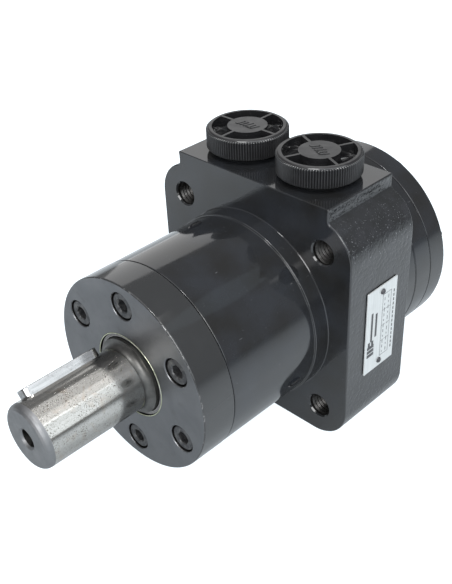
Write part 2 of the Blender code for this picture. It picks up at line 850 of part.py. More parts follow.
def plates_and_seals():
    """Valve plate ahead of the gerotor set, wear plate behind it, and the body seals."""
    plate_r = PLATE_SEAT_R - GAP
    front, rear = VALVE_SEAT_FRONT + GAP, HOUSING_REAR - GAP / 2
    plate = node("valve_plate", ring(16.5 * MM, plate_r, front, rear), HARD_STEEL)
    clear = 2.0 * MM

    def feed_hole():
        return rod(2.4 * MM, front - clear, rear + clear, 10, (0.0, 0.0, 28.2 * MM))

    holes = copies_around(feed_hole, ROLLERS, END_BOLT_PHASE)
    boolean(plate, cutter("valve_plate_holes", holes))
    wear_front, wear_rear = STATOR_REAR + GAP / 2, WEAR_SEAT_REAR - GAP
    node("wear_plate", rod(plate_r, wear_front, wear_rear, FINE), HARD_STEEL)

    inner, outer, depth = SEAL_GROOVE
    inner, outer = inner + GAP, outer - GAP
    face = HOUSING_REAR - GAP / 2
    seal = ring(inner, outer, face - depth + GAP, face, MEDIUM)
    node("body_seal_front", seal, RUBBER)
    face = STATOR_REAR + GAP / 2
    seal = ring(inner, outer, face, face + depth - GAP, MEDIUM)
    node("body_seal_rear", seal, RUBBER)


def end_cover():
    front = STATOR_REAR + GAP / 2
    rear_edge = 0.9 * MM
    inner, outer, depth = SEAL_GROOVE
    cover = node(
        "end_cover",
        turned(
            [
                (0.0, WEAR_SEAT_REAR),
                (PLATE_SEAT_R, WEAR_SEAT_REAR),
                (PLATE_SEAT_R, front),
                (inner, front),
                (inner, front + depth),
                (outer, front + depth),
                (outer, front),
                (REAR_R, front),
                (REAR_R, END_REAR - rear_edge),
                (REAR_R - rear_edge, END_REAR),
                (0.0, END_REAR),
            ]
        ),
        PAINT,
    )
    clear = 3.0 * MM

    def bolt_hole():
        centre = (0.0, 0.0, END_BOLT_CIRCLE_R)
        return rod(END_BOLT_R + GAP, front - clear, END_REAR + clear, centre=centre)

    holes = copies_around(bolt_hole, ROLLERS, END_BOLT_PHASE)
    boolean(cover, cutter("end_cover_holes", holes))


def end_cover_bolts():
    """Seven long hex bolts through the end cover and stator into the housing."""
    seat = END_REAR + GAP
    top = seat + HEX_HEAD_HEIGHT
    n = 12
    mesh = lofted(
        [
            round_loop(END_BOLT_R, END_BOLT_TIP, n),
            round_loop(END_BOLT_R, seat, n),
            hex_loop(HEX_HEAD, seat, n),
            hex_loop(HEX_HEAD, top - EDGE, n),
            round_loop(HEX_HEAD / 2 - EDGE, top, n),
        ]
    )
    fasteners_around(
        "end_cover_bolt", mesh, BLACK_OXIDE, ROLLERS, END_BOLT_CIRCLE_R, END_BOLT_PHASE
    )
    bpy.data.objects["end_cover_bolt_1"].rotation_euler.y += FIRST_BOLT_TURN


# ---------------------------------------------------------------- nameplate and plugs


def nameplate():
    x = PLATE_CENTRE.x + GAP + PLATE_THICK / 2
    centre = (x, PLATE_CENTRE.y, PLATE_CENTRE.z)
    plate = box(centre, (PLATE_THICK, PLATE_WIDTH, PLATE_HEIGHT))
    plate = node("nameplate", plate, PLATE_METAL, smooth=False)
    seat = 2 * GAP + PLATE_THICK
    head = 0.9 * MM
    holes = []
    for end, side in (("upper", 1), ("lower", -1)):
        spot = (PLATE_CENTRE.x, PLATE_CENTRE.y, PLATE_CENTRE.z + side * RIVET_OFFSET)
        turn = Matrix.Translation(spot) @ Matrix.Rotation(-math.pi / 2, 4, "Z")
        hole = rod(RIVET_R + GAP, -3.0 * MM, 3.0 * MM, 12)
        hole.transform(turn)
        holes.append(hole)
        rivet = turned(
            [
                (0.0, -5.5 * MM),
                (RIVET_R, -5.5 * MM),
                (RIVET_R, seat),
                (2.1 * MM, seat),
                (1.7 * MM, seat + 0.6 * head),
                (0.8 * MM, seat + head),
                (0.0, seat + head),
            ],
            8,
        )
        rivet.transform(turn)
        node("nameplate_rivet_" + end, rivet, BLACK_OXIDE)
    boolean(plate, cutter("nameplate_holes", joined(holes)))


def port_plug(side):
    """Threaded transit plug with a wide grip rim, four spokes, and a washer under it."""
    sign = {"left": -1, "right": 1}[side]
    spot = Vector((sign * PORT_X, PORT_Y, 0.0))
    thread_r = PORT_THREAD_R - 0.4 * MM
    thread_end = 57.5 * MM
    hollow_r = 7.6 * MM
    plug = node(
        "port_plug_" + side,
        turned(
            [
                (hollow_r, thread_end),
                (thread_r, thread_end),
                (thread_r, PLUG_UNDERSIDE),
                (PLUG_R, PLUG_UNDERSIDE),
                (PLUG_R, PLUG_TOP - 1.2 * MM),
                (PLUG_R - 1.2 * MM, PLUG_TOP),
                (0.0, PLUG_TOP),
                (0.0, PLUG_UNDERSIDE + 2.0 * MM),
                (hollow_r, PLUG_UNDERSIDE + 2.0 * MM),
            ],
            MEDIUM,
            upright=True,
        ),
        PLASTIC,
    )
    hub_r, rim_r = 10.1 * MM, 17.9 * MM
    half_spoke = 0.7 * MM
    floor = PLUG_TOP - 6.6 * MM
    pockets = []
    for k in range(4):
        turn = k * math.pi / 2
        inner = math.asin(half_spoke / hub_r)
        outer = math.asin(half_spoke / rim_r)
        outline = arc((0.0, 0.0), rim_r, turn + outer, turn + math.pi / 2 - outer, 7)
        outline += arc((0.0, 0.0), hub_r, turn + math.pi / 2 - inner, turn + inner, 4)
        pocket = prism(outline, 0.0, 10.0 * MM)
        pocket.transform(Matrix.Rotation(math.pi / 2, 4, "X"))
        pocket.transform(Matrix.Translation((0.0, 0.0, floor)))
        pockets.append(pocket)
    pockets = cutter("plug_pockets_" + side, joined(pockets))
    pockets.parent = plug
    boolean(plug, pockets)
    plug.location = spot
    plug.rotation_euler.z = PLUG_TURN[side]

    washer = turned(
        [
            (PORT_THREAD_R + GAP, PORT_FACE_Z + GAP),
            (14.5 * MM, PORT_FACE_Z + GAP),
            (14.5 * MM, PLUG_UNDERSIDE - GAP),
            (PORT_THREAD_R + GAP, PLUG_UNDERSIDE - GAP),
        ],
        COARSE,
        upright=True,
    )
    washer = node("plug_washer_" + side, washer, RUBBER)
    washer.location = spot


def main():
    for leftover in list(bpy.data.objects):
        bpy.data.objects.remove(leftover)
    housing()
    front_cover()
    front_cover_screws()
    shaft_seals()
    output_shaft()
    radial_bearings()
    thrust_bearing()
    gerotor_set()
    drive_link()
    plates_and_seals()
    end_cover()
    end_cover_bolts()
    nameplate()
    port_plug("left")
    port_plug("right")


main()
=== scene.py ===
"""Looks of the hydraulic motor: detailed pieces and finishes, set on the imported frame.

Mesh code works in millimetres in the row frame. The shaft runs along Y and its end points
to -Y, the ports look up, and the origin is on the shaft axis in the flange's front face.
Angles round the shaft start at +Z and turn towards +X.
"""

import math

import bmesh
import bpy
from mathutils import Matrix, Vector


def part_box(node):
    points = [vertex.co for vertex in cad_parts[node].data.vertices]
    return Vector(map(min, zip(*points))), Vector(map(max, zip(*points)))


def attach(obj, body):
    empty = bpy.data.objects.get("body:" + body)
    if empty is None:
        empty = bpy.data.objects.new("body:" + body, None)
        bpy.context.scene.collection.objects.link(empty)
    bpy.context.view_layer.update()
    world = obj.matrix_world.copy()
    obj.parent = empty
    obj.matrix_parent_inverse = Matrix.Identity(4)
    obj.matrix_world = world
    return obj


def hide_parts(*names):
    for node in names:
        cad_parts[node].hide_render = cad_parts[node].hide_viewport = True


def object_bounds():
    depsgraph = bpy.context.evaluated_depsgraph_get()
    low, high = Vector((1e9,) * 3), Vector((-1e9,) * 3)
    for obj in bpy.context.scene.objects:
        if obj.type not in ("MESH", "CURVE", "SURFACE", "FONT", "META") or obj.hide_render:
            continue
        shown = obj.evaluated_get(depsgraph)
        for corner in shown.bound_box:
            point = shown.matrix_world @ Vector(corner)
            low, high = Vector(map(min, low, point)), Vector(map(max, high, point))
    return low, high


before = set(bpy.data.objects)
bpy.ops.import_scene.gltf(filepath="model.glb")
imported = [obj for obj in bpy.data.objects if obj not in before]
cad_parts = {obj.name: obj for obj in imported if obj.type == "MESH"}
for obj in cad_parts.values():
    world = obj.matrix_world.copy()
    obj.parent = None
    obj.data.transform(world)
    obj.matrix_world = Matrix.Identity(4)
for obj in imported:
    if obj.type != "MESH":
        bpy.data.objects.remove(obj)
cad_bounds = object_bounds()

MM = 0.001
SMOOTH = 128  # facets round the large turned surfaces
ROUND = 48  # facets round small ones

# Housing
JOINT = -64.4  # where the front cover meets the housing
SEAM = 0.3  # gap at each joint
BODY_R = 49.9
PILOT_R = 50.8
PILOT_FRONT = -9.0
REAR_R = 54.9
FLANGE_HALF = 62.8
FLANGE_CORNER_R = 19.6
BLOCK_HALF = 48.8
BLOCK_REAR = 48.3
PORT_FACE = 69.5
HOLE_OFFSET = 46.0
HOLE_R = 6.2
HOLE_MOUTH_R = 6.9
HOLE_DEPTH = 26.0
HOLE_PITCH = 1.95
BORE_R = 32.5

# Ports
SIDES = ("left", "right")
PORT_THREAD_R = 10.5
PORT_FLOOR = 52.0
PORT_PITCH = 1.814
PLUG_TURN = {"left": 0.0, "right": math.radians(-24.0)}
GRIP_RIDGES = 100

# Front cover
COVER_R = 50.0
COVER_BORE_R = 22.0
SCREW_CIRCLE_R = 38.6
COUNTERBORE_R = 7.0
SCREWS = 6

# Shaft
SHAFT_R = 15.9
SHOULDER_R = 19.5
TAP_R = 4.6
TAP_DEPTH = 24.0
KEY_ANGLE = math.radians(-42.0)
KEY_WIDTH = 10.0
KEY_FRONT = -133.6
KEY_LENGTH = 41.8
KEY_BOTTOM_R = 11.8
KEY_TOP_R = 19.5

# Rear bolts
BOLTS = 7
HEX_HEAD = 11.0  # across flats
FIRST_BOLT_TURN = math.radians(30.0)

# Camera, fitted to the photograph: degrees and metres
CAMERA_AZIMUTH = 46.068
CAMERA_ELEVATION = 33.837
CAMERA_ROLL = -2.817
CAMERA_PLACE = (0.261565, -0.27025, 0.25718)
CAMERA_LENS = 54.0

# How bright the studio is to the camera, and to everything else
SEEN_WHITE = 1.05
FLOOR_REFLECTED = 0.50
WORLD_REFLECTED = 0.28


# ---- outlines


def around(angle, radius=1.0, y=0.0):
    """A point at an angle round the shaft axis."""
    return Vector((radius * math.sin(angle), y, radius * math.cos(angle)))


def arc(centre, radius, start, end, steps):
    """Points on an arc, its angles in degrees from the first axis towards the second."""
    angles = [math.radians(start + (end - start) * k / steps) for k in range(steps + 1)]
    return [
        (centre[0] + radius * math.cos(a), centre[1] + radius * math.sin(a))
        for a in angles
    ]


def rounded(corners, steps=4):
    """An outline in which each corner with a third number is rounded to that radius."""
    points = []
    for k, corner in enumerate(corners):
        here = Vector(corner[:2])
        if len(corner) < 3:
            points.append(here)
            continue
        before = (Vector(corners[k - 1][:2]) - here).normalized()
        after = (Vector(corners[(k + 1) % len(corners)][:2]) - here).normalized()
        half = before.angle(after) / 2
        centre = here + (before + after).normalized() * corner[2] / math.sin(half)
        start = here + before * corner[2] / math.tan(half) - centre
        turn = math.pi - 2 * half
        if before.x * after.y - before.y * after.x > 0:
            turn = -turn
        for step in range(steps + 1):
            spun_by = Matrix.Rotation(turn * step / steps, 2)
            points.append(centre + spun_by @ start)
    return [tuple(point) for point in points]


def capsule(length, width, steps=12):
    """Outline of a round-ended bar: (along, across) points, centred."""
    r = width / 2
    right = arc((length / 2 - r, 0.0), r, -90, 90, steps)
    return right + arc((r - length / 2, 0.0), r, 90, 270, steps)


# ---- mesh building


def skin(mesh, first, second):
    """Faces between two loops; either may be a single point."""
    count = max(len(first), len(second))
    for k in range(count if count > 1 else 0):
        n = (k + 1) % count
        corners = [first[k % len(first)], first[n % len(first)]]
        corners += [second[n % len(second)], second[k % len(second)]]
        mesh.faces.new(list(dict.fromkeys(corners)))


def lofted(loops, closed=False):
    """A skin over loops of points, capped at both ends or joined back to its start."""
    mesh = bmesh.new()
    rings = [[mesh.verts.new(point) for point in loop] for loop in loops]
    for first, second in zip(rings, rings[1:] + rings[: int(closed)]):
        skin(mesh, first, second)
    if not closed:
        for ring in (rings[0], rings[-1]):
            if len(ring) > 2:
                mesh.faces.new(ring)
    return mesh


def circle(radius, y, facets):
    """A loop round the shaft axis, or its single point where the radius is zero."""
    if radius < 1e-6:
        return [Vector((0.0, y, 0.0))]
    return [around(2 * math.pi * k / facets, radius, y) for k in range(facets)]


def turned(profile, facets=SMOOTH):
    """A closed (radius, y) outline spun round the Y axis."""
    return lofted([circle(radius, y, facets) for radius, y in profile], closed=True)


def upright(mesh, spot=(0.0, 0.0, 0.0)):
    """Turns a mesh built along Y so that it stands along Z, and sets it at a spot."""
    mesh.transform(Matrix.Translation(spot) @ Matrix.Rotation(math.pi / 2, 4, "X"))
    return mesh


def stored(name, mesh, scale=1.0):
    """Mesh data made from a mesh under construction, which it frees."""
    data = bpy.data.meshes.new(name)
    mesh.transform(Matrix.Scale(scale, 4))
    mesh.to_mesh(data)
    mesh.free()
    return data


def joined(meshes):
    """One mesh of all their faces, each shell left whole."""
    whole = bmesh.new()
    for mesh in meshes:
        data = stored("part", mesh)
        whole.from_mesh(data)
        bpy.data.meshes.remove(data)
    return whole


def placed(mesh, matrix):
    mesh.transform(matrix)
    return mesh


def extruded(outline, low, high):
    """An (x, y) outline raised along Z."""
    return lofted([[(x, y, z) for x, y in outline] for z in (low, high)])


def thread(root, crest, pitch, front, rear, steps=40):
    """A V-thread winding along Y, open at both ends."""
    mesh = bmesh.new()
    rows = int((rear - front) / pitch * 2) - 1
    grid = []
    for j in range(rows):
        radius = crest if j % 2 else root
        row = []
        for i in range(steps + 1):
            y = front + pitch * (j / 2 + i / steps)
            row.append(mesh.verts.new(around(2 * math.pi * i / steps, radius, y)))
        grid.append(row)
    for low, high in zip(grid, grid[1:]):
        for i in range(steps):
            mesh.faces.new((low[i], low[i + 1], high[i + 1], high[i]))
    bmesh.ops.remove_doubles(mesh, verts=mesh.verts, dist=1e-4)
    return mesh


def linked(name, data):
    """A new object with this data, in the scene."""
    made = bpy.data.objects.new(name, data)
    bpy.context.scene.collection.objects.link(made)
    return made


def solid(name, mesh):
    """A mesh built in millimetres becomes an object in metres."""
    bmesh.ops.recalc_face_normals(mesh, faces=mesh.faces)
    return linked(name, stored(name, mesh, MM))


def keep_evaluated(target):
    """Replaces an object's mesh by what its modifiers make of it."""
    graph = bpy.context.evaluated_depsgraph_get()
    result = bpy.data.meshes.new_from_object(target.evaluated_get(graph))
    before = target.data
    target.modifiers.clear()
    target.data = result
    bpy.data.meshes.remove(before)


def carved(target, mesh):
    """Cuts a closed mesh out of an object."""
    tool = solid("tool", mesh)
    modifier = target.modifiers.new("cut", "BOOLEAN")
    modifier.operation = "DIFFERENCE"
    modifier.solver = "EXACT"
    modifier.object = tool
    keep_evaluated(target)
    data = tool.data
    bpy.data.objects.remove(tool)
    bpy.data.meshes.remove(data)


def softened(target, width, segments=2, angle=35):
    """Rounds an object's sharp edges."""
    modifier = target.modifiers.new("soften", "BEVEL")
    modifier.width = width * MM
    modifier.segments = segments
    modifier.limit_method = "ANGLE"
    modifier.angle_limit = math.radians(angle)
    keep_evaluated(target)


def added(target, mesh):
    """Joins loose detail, such as a thread, to an object."""
    whole = bmesh.new()
    whole.from_mesh(target.data)
    detail = stored("detail", mesh, MM)
    whole.from_mesh(detail)
    whole.to_mesh(target.data)
    whole.free()
    bpy.data.meshes.remove(detail)


def settled(made, body, looks, stands_for=(), pick=None, sharp=32):
    """Gives a piece its looks and shading, and sets it on its body.

    pick(centre, normal) says which look a face takes; its centre is in millimetres.
    """
    data = made.data
    data.materials.clear()
    for look in looks:
        data.materials.append(look)
    for face in data.polygons:
        face.material_index = pick(face.center / MM, face.normal) if pick else 0
    data.shade_smooth()
    data.set_sharp_from_angle(angle=math.radians(sharp))
    normals = made.modifiers.new("normals", "WEIGHTED_NORMAL")
    normals.keep_sharp = True
    normals.weight = 80
    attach(made, body)
    if stands_for:
        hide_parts(*stands_for)


def box_mm(node):
    """A CAD node's lowest and highest corners, in millimetres."""
    low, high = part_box(node)
    return low / MM, high / MM


def middle_mm(node):
    low, high = box_mm(node)
    return (low + high) / 2


# ---- material nodes


class Look:
    """A material under construction: its node tree, its shader and its coordinates."""

    def __init__(self, name, roughness=0.4, metallic=0.0, **values):
        self.material = bpy.data.materials.new(name)
        self.material.use_nodes = True
        self.tree = self.material.node_tree
        self.shader = self.tree.nodes["Principled BSDF"]
        self.shader.inputs["Roughness"].default_value = roughness
        self.shader.inputs["Metallic"].default_value = metallic
        for socket, value in values.items():
            self.shader.inputs[socket.replace("_", " ")].default_value = value
        self.place = self.tree.nodes.new("ShaderNodeTexCoord").outputs["Object"]
        self.normal = None

    def add(self, kind, inputs=(), **settings):
        """A new node, each of its inputs given a value or a link."""
        made = self.tree.nodes.new("ShaderNode" + kind)
        for setting, value in settings.items():
            setattr(made, setting, value)
        for socket, value in dict(inputs).items():
            if isinstance(value, bpy.types.NodeSocket):
                self.tree.links.new(value, made.inputs[socket])
            else:
                made.inputs[socket].default_value = value
        return made

    def noise(self, size, detail=3.0, stretch=(1.0, 1.0, 1.0), warp=0.0, seed=0.0):
        """Noise whose blobs are about size millimetres across, times the stretch."""
        scale = [1.0 / (size * MM * s) for s in stretch]
        shift = (seed, seed * 0.7, seed * 1.3)
        mapping = {"Vector": self.place, "Scale": scale, "Location": shift}
        where = self.add("Mapping", mapping).outputs[0]
        texture = {"Vector": where, "Scale": 1.0, "Detail": detail, "Distortion": warp}
        return self.add("TexNoise", texture).outputs["Fac"]

    def rings(self, spacing):
        """Fine rings round the shaft axis, spacing millimetres apart."""
        wave = {"Vector": self.place, "Scale": 0.314 / (spacing * MM)}
        wave.update({"Distortion": 1.5, "Detail": 2.0, "Detail Scale": 1.0})
        made = self.add("TexWave", wave, wave_type="RINGS", rings_direction="Y")
        return made.outputs["Fac"]

    def spread(self, value, low, high, to_low=0.0, to_high=1.0):
        """Maps low..high of a value to to_low..to_high, and clamps it."""
        names = ("Value", "From Min", "From Max", "To Min", "To Max")
        inputs = dict(zip(names, (value, low, high, to_low, to_high)))
        return self.add("MapRange", inputs).outputs["Result"]

    def tone(self, size, detail=4.0):
        """A soft mask of blotches, for mixing two close colours."""
        return self.spread(self.noise(size, detail), 0.35, 0.65)

    def varied(self, size, detail, seed, low, high):
        """A value that wanders from low to high over the surface, such as roughness."""
        return self.spread(self.noise(size, detail, seed=seed), 0.3, 0.7, low, high)

    def maths(self, operation, a, b):
        return self.add("Math", {0: a, 1: b}, operation=operation).outputs[0]

    def mixed(self, factor, a, b):
        """Colour a where factor is 0, and colour b where it is 1."""
        inputs = {0: factor, 6: a, 7: b}
        for socket in (6, 7):
            if isinstance(inputs[socket], tuple):
                inputs[socket] = (*inputs[socket], 1.0)
        return self.add("Mix", inputs, data_type="RGBA").outputs[2]

    def stained(self, colour, mask, share, tint):
        """Lays a tint over a colour: share of it where the mask is 1."""
        return self.mixed(self.maths("MULTIPLY", mask, share), colour, tint)

    def bump(self, height, depth):
        """Adds relief of about depth millimetres."""
        inputs = {"Height": height, "Distance": depth * MM}
        if self.normal:
            inputs["Normal"] = self.normal
        self.normal = self.add("Bump", inputs).outputs["Normal"]

    def simple(self, colours, grain, depth, roughness):
        """A finish of two mixed colours, one relief and one roughness."""
        self.bump(grain, depth)
        return self.finish(self.mixed(*colours), roughness)

    def finish(self, colour, roughness=None, metallic=None):
        """Links what varies over the surface to the shader."""
        links = {"Base Color": colour, "Roughness": roughness, "Metallic": metallic}
        links["Normal"] = self.normal
        for socket, value in links.items():
            if value is not None:
                self.tree.links.new(value, self.shader.inputs[socket])
        return self.material


def enamel(look):
    """The slow waves and faint orange peel of enamel; returns its roughness."""
    look.bump(look.noise(30.0, 2.0), 0.04)
    look.bump(look.noise(2.2, 1.0, seed=2.0), 0.003)
    return look.varied(9.0, 4.0, 7.0, 0.05, 0.12)


def gloss_paint():
    """Black enamel over machined metal: glossy, faintly uneven, with a few scuffs."""
    look = Look("gloss_paint", IOR=1.6)
    tone = look.tone(22.0)
    colour = look.mixed(tone, (0.013, 0.013, 0.013), (0.020, 0.022, 0.026))
    scuffs = look.noise(3.5, 2.0, stretch=(0.12, 3.0, 0.5), warp=0.4, seed=4.0)
    scuffs = look.spread(scuffs, 0.76, 0.80)
    colour = look.mixed(scuffs, colour, (0.14, 0.145, 0.15))
    dust = look.spread(look.noise(0.9, 2.0, seed=17.0), 0.74, 0.78)
    colour = look.stained(colour, dust, 0.5, (0.15, 0.155, 0.16))
    return look.finish(colour, enamel(look))


def cast_paint():
    """The same enamel over sand-cast iron: hammered relief, with small glints painted as
    light specks.
    """
    look = Look("cast_paint", IOR=1.6)
    tone = look.tone(9.0)
    colour = look.mixed(tone, (0.015, 0.016, 0.017), (0.023, 0.024, 0.027))
    height = look.add("SeparateXYZ", {"Vector": look.place}).outputs["Z"]
    above, below = look.spread(height, 0.036, 0.042), look.spread(height, 0.062, 0.058)
    shelf = look.maths("MULTIPLY", above, below)
    # painted highlight: light specks in a band of height on the block's side stand in for
    # glints of light
    painted_glint = look.noise(0.55, 1.0, stretch=(1.0, 1.0, 2.2), seed=14.0)
    painted_glint = look.maths("MULTIPLY", look.spread(painted_glint, 0.70, 0.75), shelf)
    colour = look.mixed(painted_glint, colour, (0.20, 0.21, 0.22))
    look.bump(look.noise(14.0, 3.0), 0.18)
    look.bump(look.noise(2.4, 2.0, seed=3.0), 0.13)
    look.bump(look.spread(look.noise(1.9, 2.0, seed=9.0), 0.30, 0.50), 0.08)
    under_ports = look.spread(height, 0.066, 0.068)
    lumps = look.noise(1.7, 2.0, seed=21.0)
    look.bump(look.maths("MULTIPLY", lumps, under_ports), 0.40)
    roughness = look.varied(3.0, 3.0, 5.0, 0.08, 0.18)
    return look.finish(colour, roughness)


def cover_steel():
    """Faced steel: blue-grey satin, with faint lathe rings and a few dull marks."""
    look = Look("cover_steel", metallic=1.0)
    blotch = look.spread(look.noise(16.0, 5.0, warp=0.6), 0.36, 0.66)
    colour = look.mixed(blotch, (0.162, 0.166, 0.174), (0.190, 0.193, 0.200))
    stain = look.spread(look.noise(5.0, 5.0, seed=6.0), 0.60, 0.74)
    colour = look.stained(colour, stain, 0.25, (0.10, 0.098, 0.092))
    speck = look.spread(look.noise(1.1, 2.0, seed=11.0), 0.76, 0.80)
    colour = look.stained(colour, speck, 0.6, (0.26, 0.27, 0.27))
    look.bump(look.rings(0.9), 0.0015)
    look.bump(look.noise(1.2, 3.0, seed=2.0), 0.005)
    roughness = look.varied(7.0, 5.0, 8.0, 0.36, 0.44)
    return look.finish(colour, roughness)


def cover_rim():
    """Enamel on the cover's side, chipped back to steel in places along the front edge."""
    look = Look("cover_rim", IOR=1.6)
    place = look.add("SeparateXYZ", {"Vector": look.place})
    front = look.spread(place.outputs["Y"], -0.0824, -0.0829)  # the cover's front edge
    patch = look.spread(look.noise(11.0, 3.0, seed=5.0), 0.50, 0.60)
    chip = look.spread(look.noise(1.8, 4.0, warp=0.5), 0.52, 0.60)
    bare = look.maths("MULTIPLY", front, look.maths("MULTIPLY", chip, patch))
    colour = look.mixed(bare, (0.027, 0.028, 0.029), (0.36, 0.36, 0.36))
    roughness = look.maths("ADD", enamel(look), look.maths("MULTIPLY", bare, 0.3))
    return look.finish(colour, roughness, bare)


def shaft_steel():
    """Ground steel: satin, with fine grain, scattered pits and a trace of brown."""
    look = Look("shaft_steel", metallic=1.0)
    band = look.noise(3.0, 4.0, stretch=(1.0, 8.0, 1.0), warp=0.3)
    colour = look.mixed(
        look.spread(band, 0.35, 0.68), (0.372, 0.366, 0.345), (0.440, 0.433, 0.412)
    )
    grain = look.spread(look.noise(0.7, 3.0, seed=21.0), 0.35, 0.65)
    colour = look.stained(colour, grain, 0.25, (0.55, 0.545, 0.53))
    stain = look.spread(look.noise(8.0, 6.0, warp=1.0, seed=3.0), 0.55, 0.74)
    colour = look.stained(colour, stain, 0.45, (0.36, 0.28, 0.21))
    where = look.spread(look.noise(11.0, 2.0, seed=13.0), 0.40, 0.60, 0.015, 0.085)
    speck = look.maths("ADD", look.noise(0.52, 2.0, seed=5.0), where)
    pits = look.spread(speck, 0.665, 0.715)
    colour = look.stained(colour, pits, 0.8, (0.11, 0.09, 0.07))
    look.bump(look.noise(0.35, 2.0, stretch=(20.0, 1.0, 20.0)), 0.0010)
    look.bump(grain, 0.0012)
    look.bump(look.maths("SUBTRACT", 1.0, pits), 0.02)
    rough = look.noise(4.0, 5.0, stretch=(1.0, 3.0, 1.0), seed=8.0)
    return look.finish(colour, look.spread(rough, 0.3, 0.72, 0.10, 0.20))


def shaded_shoulder_steel():
    """Dull turned steel of the shoulder, worn by the wiper; its darker colour is also
    painted shade, by the cover and in the shaft's tapped hole.
    """
    look = Look("shaded_shoulder_steel", metallic=1.0)
    blotch = look.tone(5.0)
    # painted shade, partly a duller finish: darker than the ground steel, for the shoulder
    # by the cover and the tapped hole
    colours = (blotch, (0.095, 0.094, 0.090), (0.145, 0.143, 0.138))
    roughness = look.varied(3.0, 4.0, 2.0, 0.36, 0.46)
    grain = look.noise(0.4, 2.0, stretch=(12.0, 1.0, 12.0))
    return look.simple(colours, grain, 0.004, roughness)


def end_steel():
    """The shaft's faced end: even blue-grey satin with a trace of rust."""
    look = Look("end_steel", metallic=1.0)
    blotch = look.spread(look.noise(6.0, 6.0, warp=0.7), 0.35, 0.66)
    colour = look.mixed(blotch, (0.215, 0.219, 0.226), (0.250, 0.253, 0.259))
    rust = look.spread(look.noise(3.0, 5.0, seed=6.0), 0.64, 0.76)
    colour = look.stained(colour, rust, 0.35, (0.16, 0.12, 0.095))
    look.bump(look.rings(0.6), 0.0015)
    look.bump(look.noise(0.9, 3.0), 0.006)
    roughness = look.varied(4.0, 4.0, 2.0, 0.44, 0.56)
    return look.finish(colour, roughness)


def key_steel():
    """Bright drawn key stock, lightly scratched along its length."""
    look = Look("key_steel", metallic=1.0)
    drawn = look.noise(1.0, 3.0, stretch=(1.0, 18.0, 1.0))
    streak = look.spread(drawn, 0.35, 0.65)
    colour = look.mixed(streak, (0.36, 0.36, 0.36), (0.47, 0.47, 0.47))
    stain = look.spread(look.noise(1.6, 5.0, seed=3.0), 0.54, 0.68)
    colour = look.stained(colour, stain, 0.6, (0.27, 0.265, 0.26))
    look.bump(drawn, 0.003)
    look.bump(look.noise(1.5, 3.0, seed=5.0), 0.003)
    roughness = look.varied(3.0, 4.0, 1.0, 0.10, 0.20)
    return look.finish(colour, roughness)


def oxide_steel():
    """Black-oxide fasteners, dusty grey where handled."""
    look = Look("oxide_steel", metallic=0.75)
    wear = look.spread(look.noise(2.5, 5.0, warp=0.5), 0.40, 0.68)
    colours = (wear, (0.055, 0.056, 0.060), (0.135, 0.135, 0.135))
    roughness = look.varied(1.5, 4.0, 3.0, 0.34, 0.52)
    return look.simple(colours, look.noise(0.7, 3.0), 0.010, roughness)


def shaded_hole_steel():
    """Oiled, machined metal inside threads and counterbores, its dark colour painted shade
    in the recesses.
    """
    look = Look("shaded_hole_steel", metallic=0.9)
    film = look.tone(2.0)
    # painted shade: these dark colours stand in for the shade inside holes and
    # counterbores
    colours = (film, (0.035, 0.034, 0.033), (0.075, 0.073, 0.071))
    roughness = look.varied(1.2, 4.0, 3.0, 0.28, 0.48)
    return look.simple(colours, look.noise(0.8, 3.0), 0.012, roughness)


def bearing_steel():
    """Hardened, ground steel of the parts inside, with a film of oil."""
    look = Look("bearing_steel", metallic=1.0)
    film = look.tone(8.0)
    colours = (film, (0.44, 0.43, 0.41), (0.60, 0.60, 0.59))
    roughness = look.varied(3.0, 4.0, 3.0, 0.14, 0.30)
    grain = look.noise(0.4, 2.0, stretch=(12.0, 1.0, 12.0))
    return look.simple(colours, grain, 0.002, roughness)


def case_metal():
    """Yellow-zinc plated rim of the dust seal."""
    look = Look("case_metal", metallic=1.0)
    tint = look.tone(4.0)
    colours = (tint, (0.62, 0.65, 0.44), (0.78, 0.80, 0.64))
    roughness = look.varied(1.5, 3.0, 2.0, 0.24, 0.40)
    return look.simple(colours, look.noise(0.6, 2.0), 0.006, roughness)


def seal_rubber():
    """Nitrile rubber, slightly bloomed."""
    look = Look("seal_rubber", IOR=1.5)
    bloom = look.spread(look.noise(3.0, 4.0), 0.40, 0.70)
    colours = (bloom, (0.040, 0.040, 0.041), (0.062, 0.062, 0.063))
    roughness = look.varied(2.0, 4.0, 4.0, 0.38, 0.60)
    return look.simple(colours, look.noise(0.7, 3.0), 0.015, roughness)


def moulded_plastic(name, glossiest, dullest, ior=1.5):
    """Black polythene of the transit plugs, with faint flow marks."""
    look = Look(name, IOR=ior)
    tone = look.tone(7.0)
    colour = look.mixed(tone, (0.010, 0.010, 0.011), (0.016, 0.016, 0.017))
    look.bump(look.noise(3.0, 2.0, warp=0.8), 0.06)
    look.bump(look.noise(0.6, 2.0, seed=2.0), 0.004)
    shine = look.noise(4.0, 4.0, seed=5.0)
    return look.finish(colour, look.spread(shine, 0.3, 0.7, glossiest, dullest))


def wiper_rubber():
    """Grey rubber lip of the dust seal, with fine moulded rings."""
    look = Look("wiper_rubber", IOR=1.5)
    bloom = look.spread(look.noise(3.0, 4.0), 0.40, 0.70)
    colours = (bloom, (0.16, 0.16, 0.162), (0.22, 0.22, 0.222))
    roughness = look.varied(2.0, 4.0, 4.0, 0.30, 0.44)
    return look.simple(colours, look.rings(0.5), 0.02, roughness)


def plate_metal():
    """Silver-white nameplate stock, brushed up and down."""
    look = Look("plate_metal", metallic=0.35)
    brushed = look.noise(0.5, 3.0, stretch=(1.0, 1.0, 30.0))
    colour = look.mixed(
        look.spread(brushed, 0.35, 0.65), (0.56, 0.58, 0.58), (0.64, 0.66, 0.66)
    )
    grime = look.spread(look.noise(7.0, 5.0, seed=4.0), 0.60, 0.74)
    colour = look.stained(colour, grime, 0.2, (0.45, 0.46, 0.46))
    look.bump(brushed, 0.004)
    roughness = look.varied(5.0, 4.0, 2.0, 0.30, 0.44)
    return look.finish(colour, roughness)


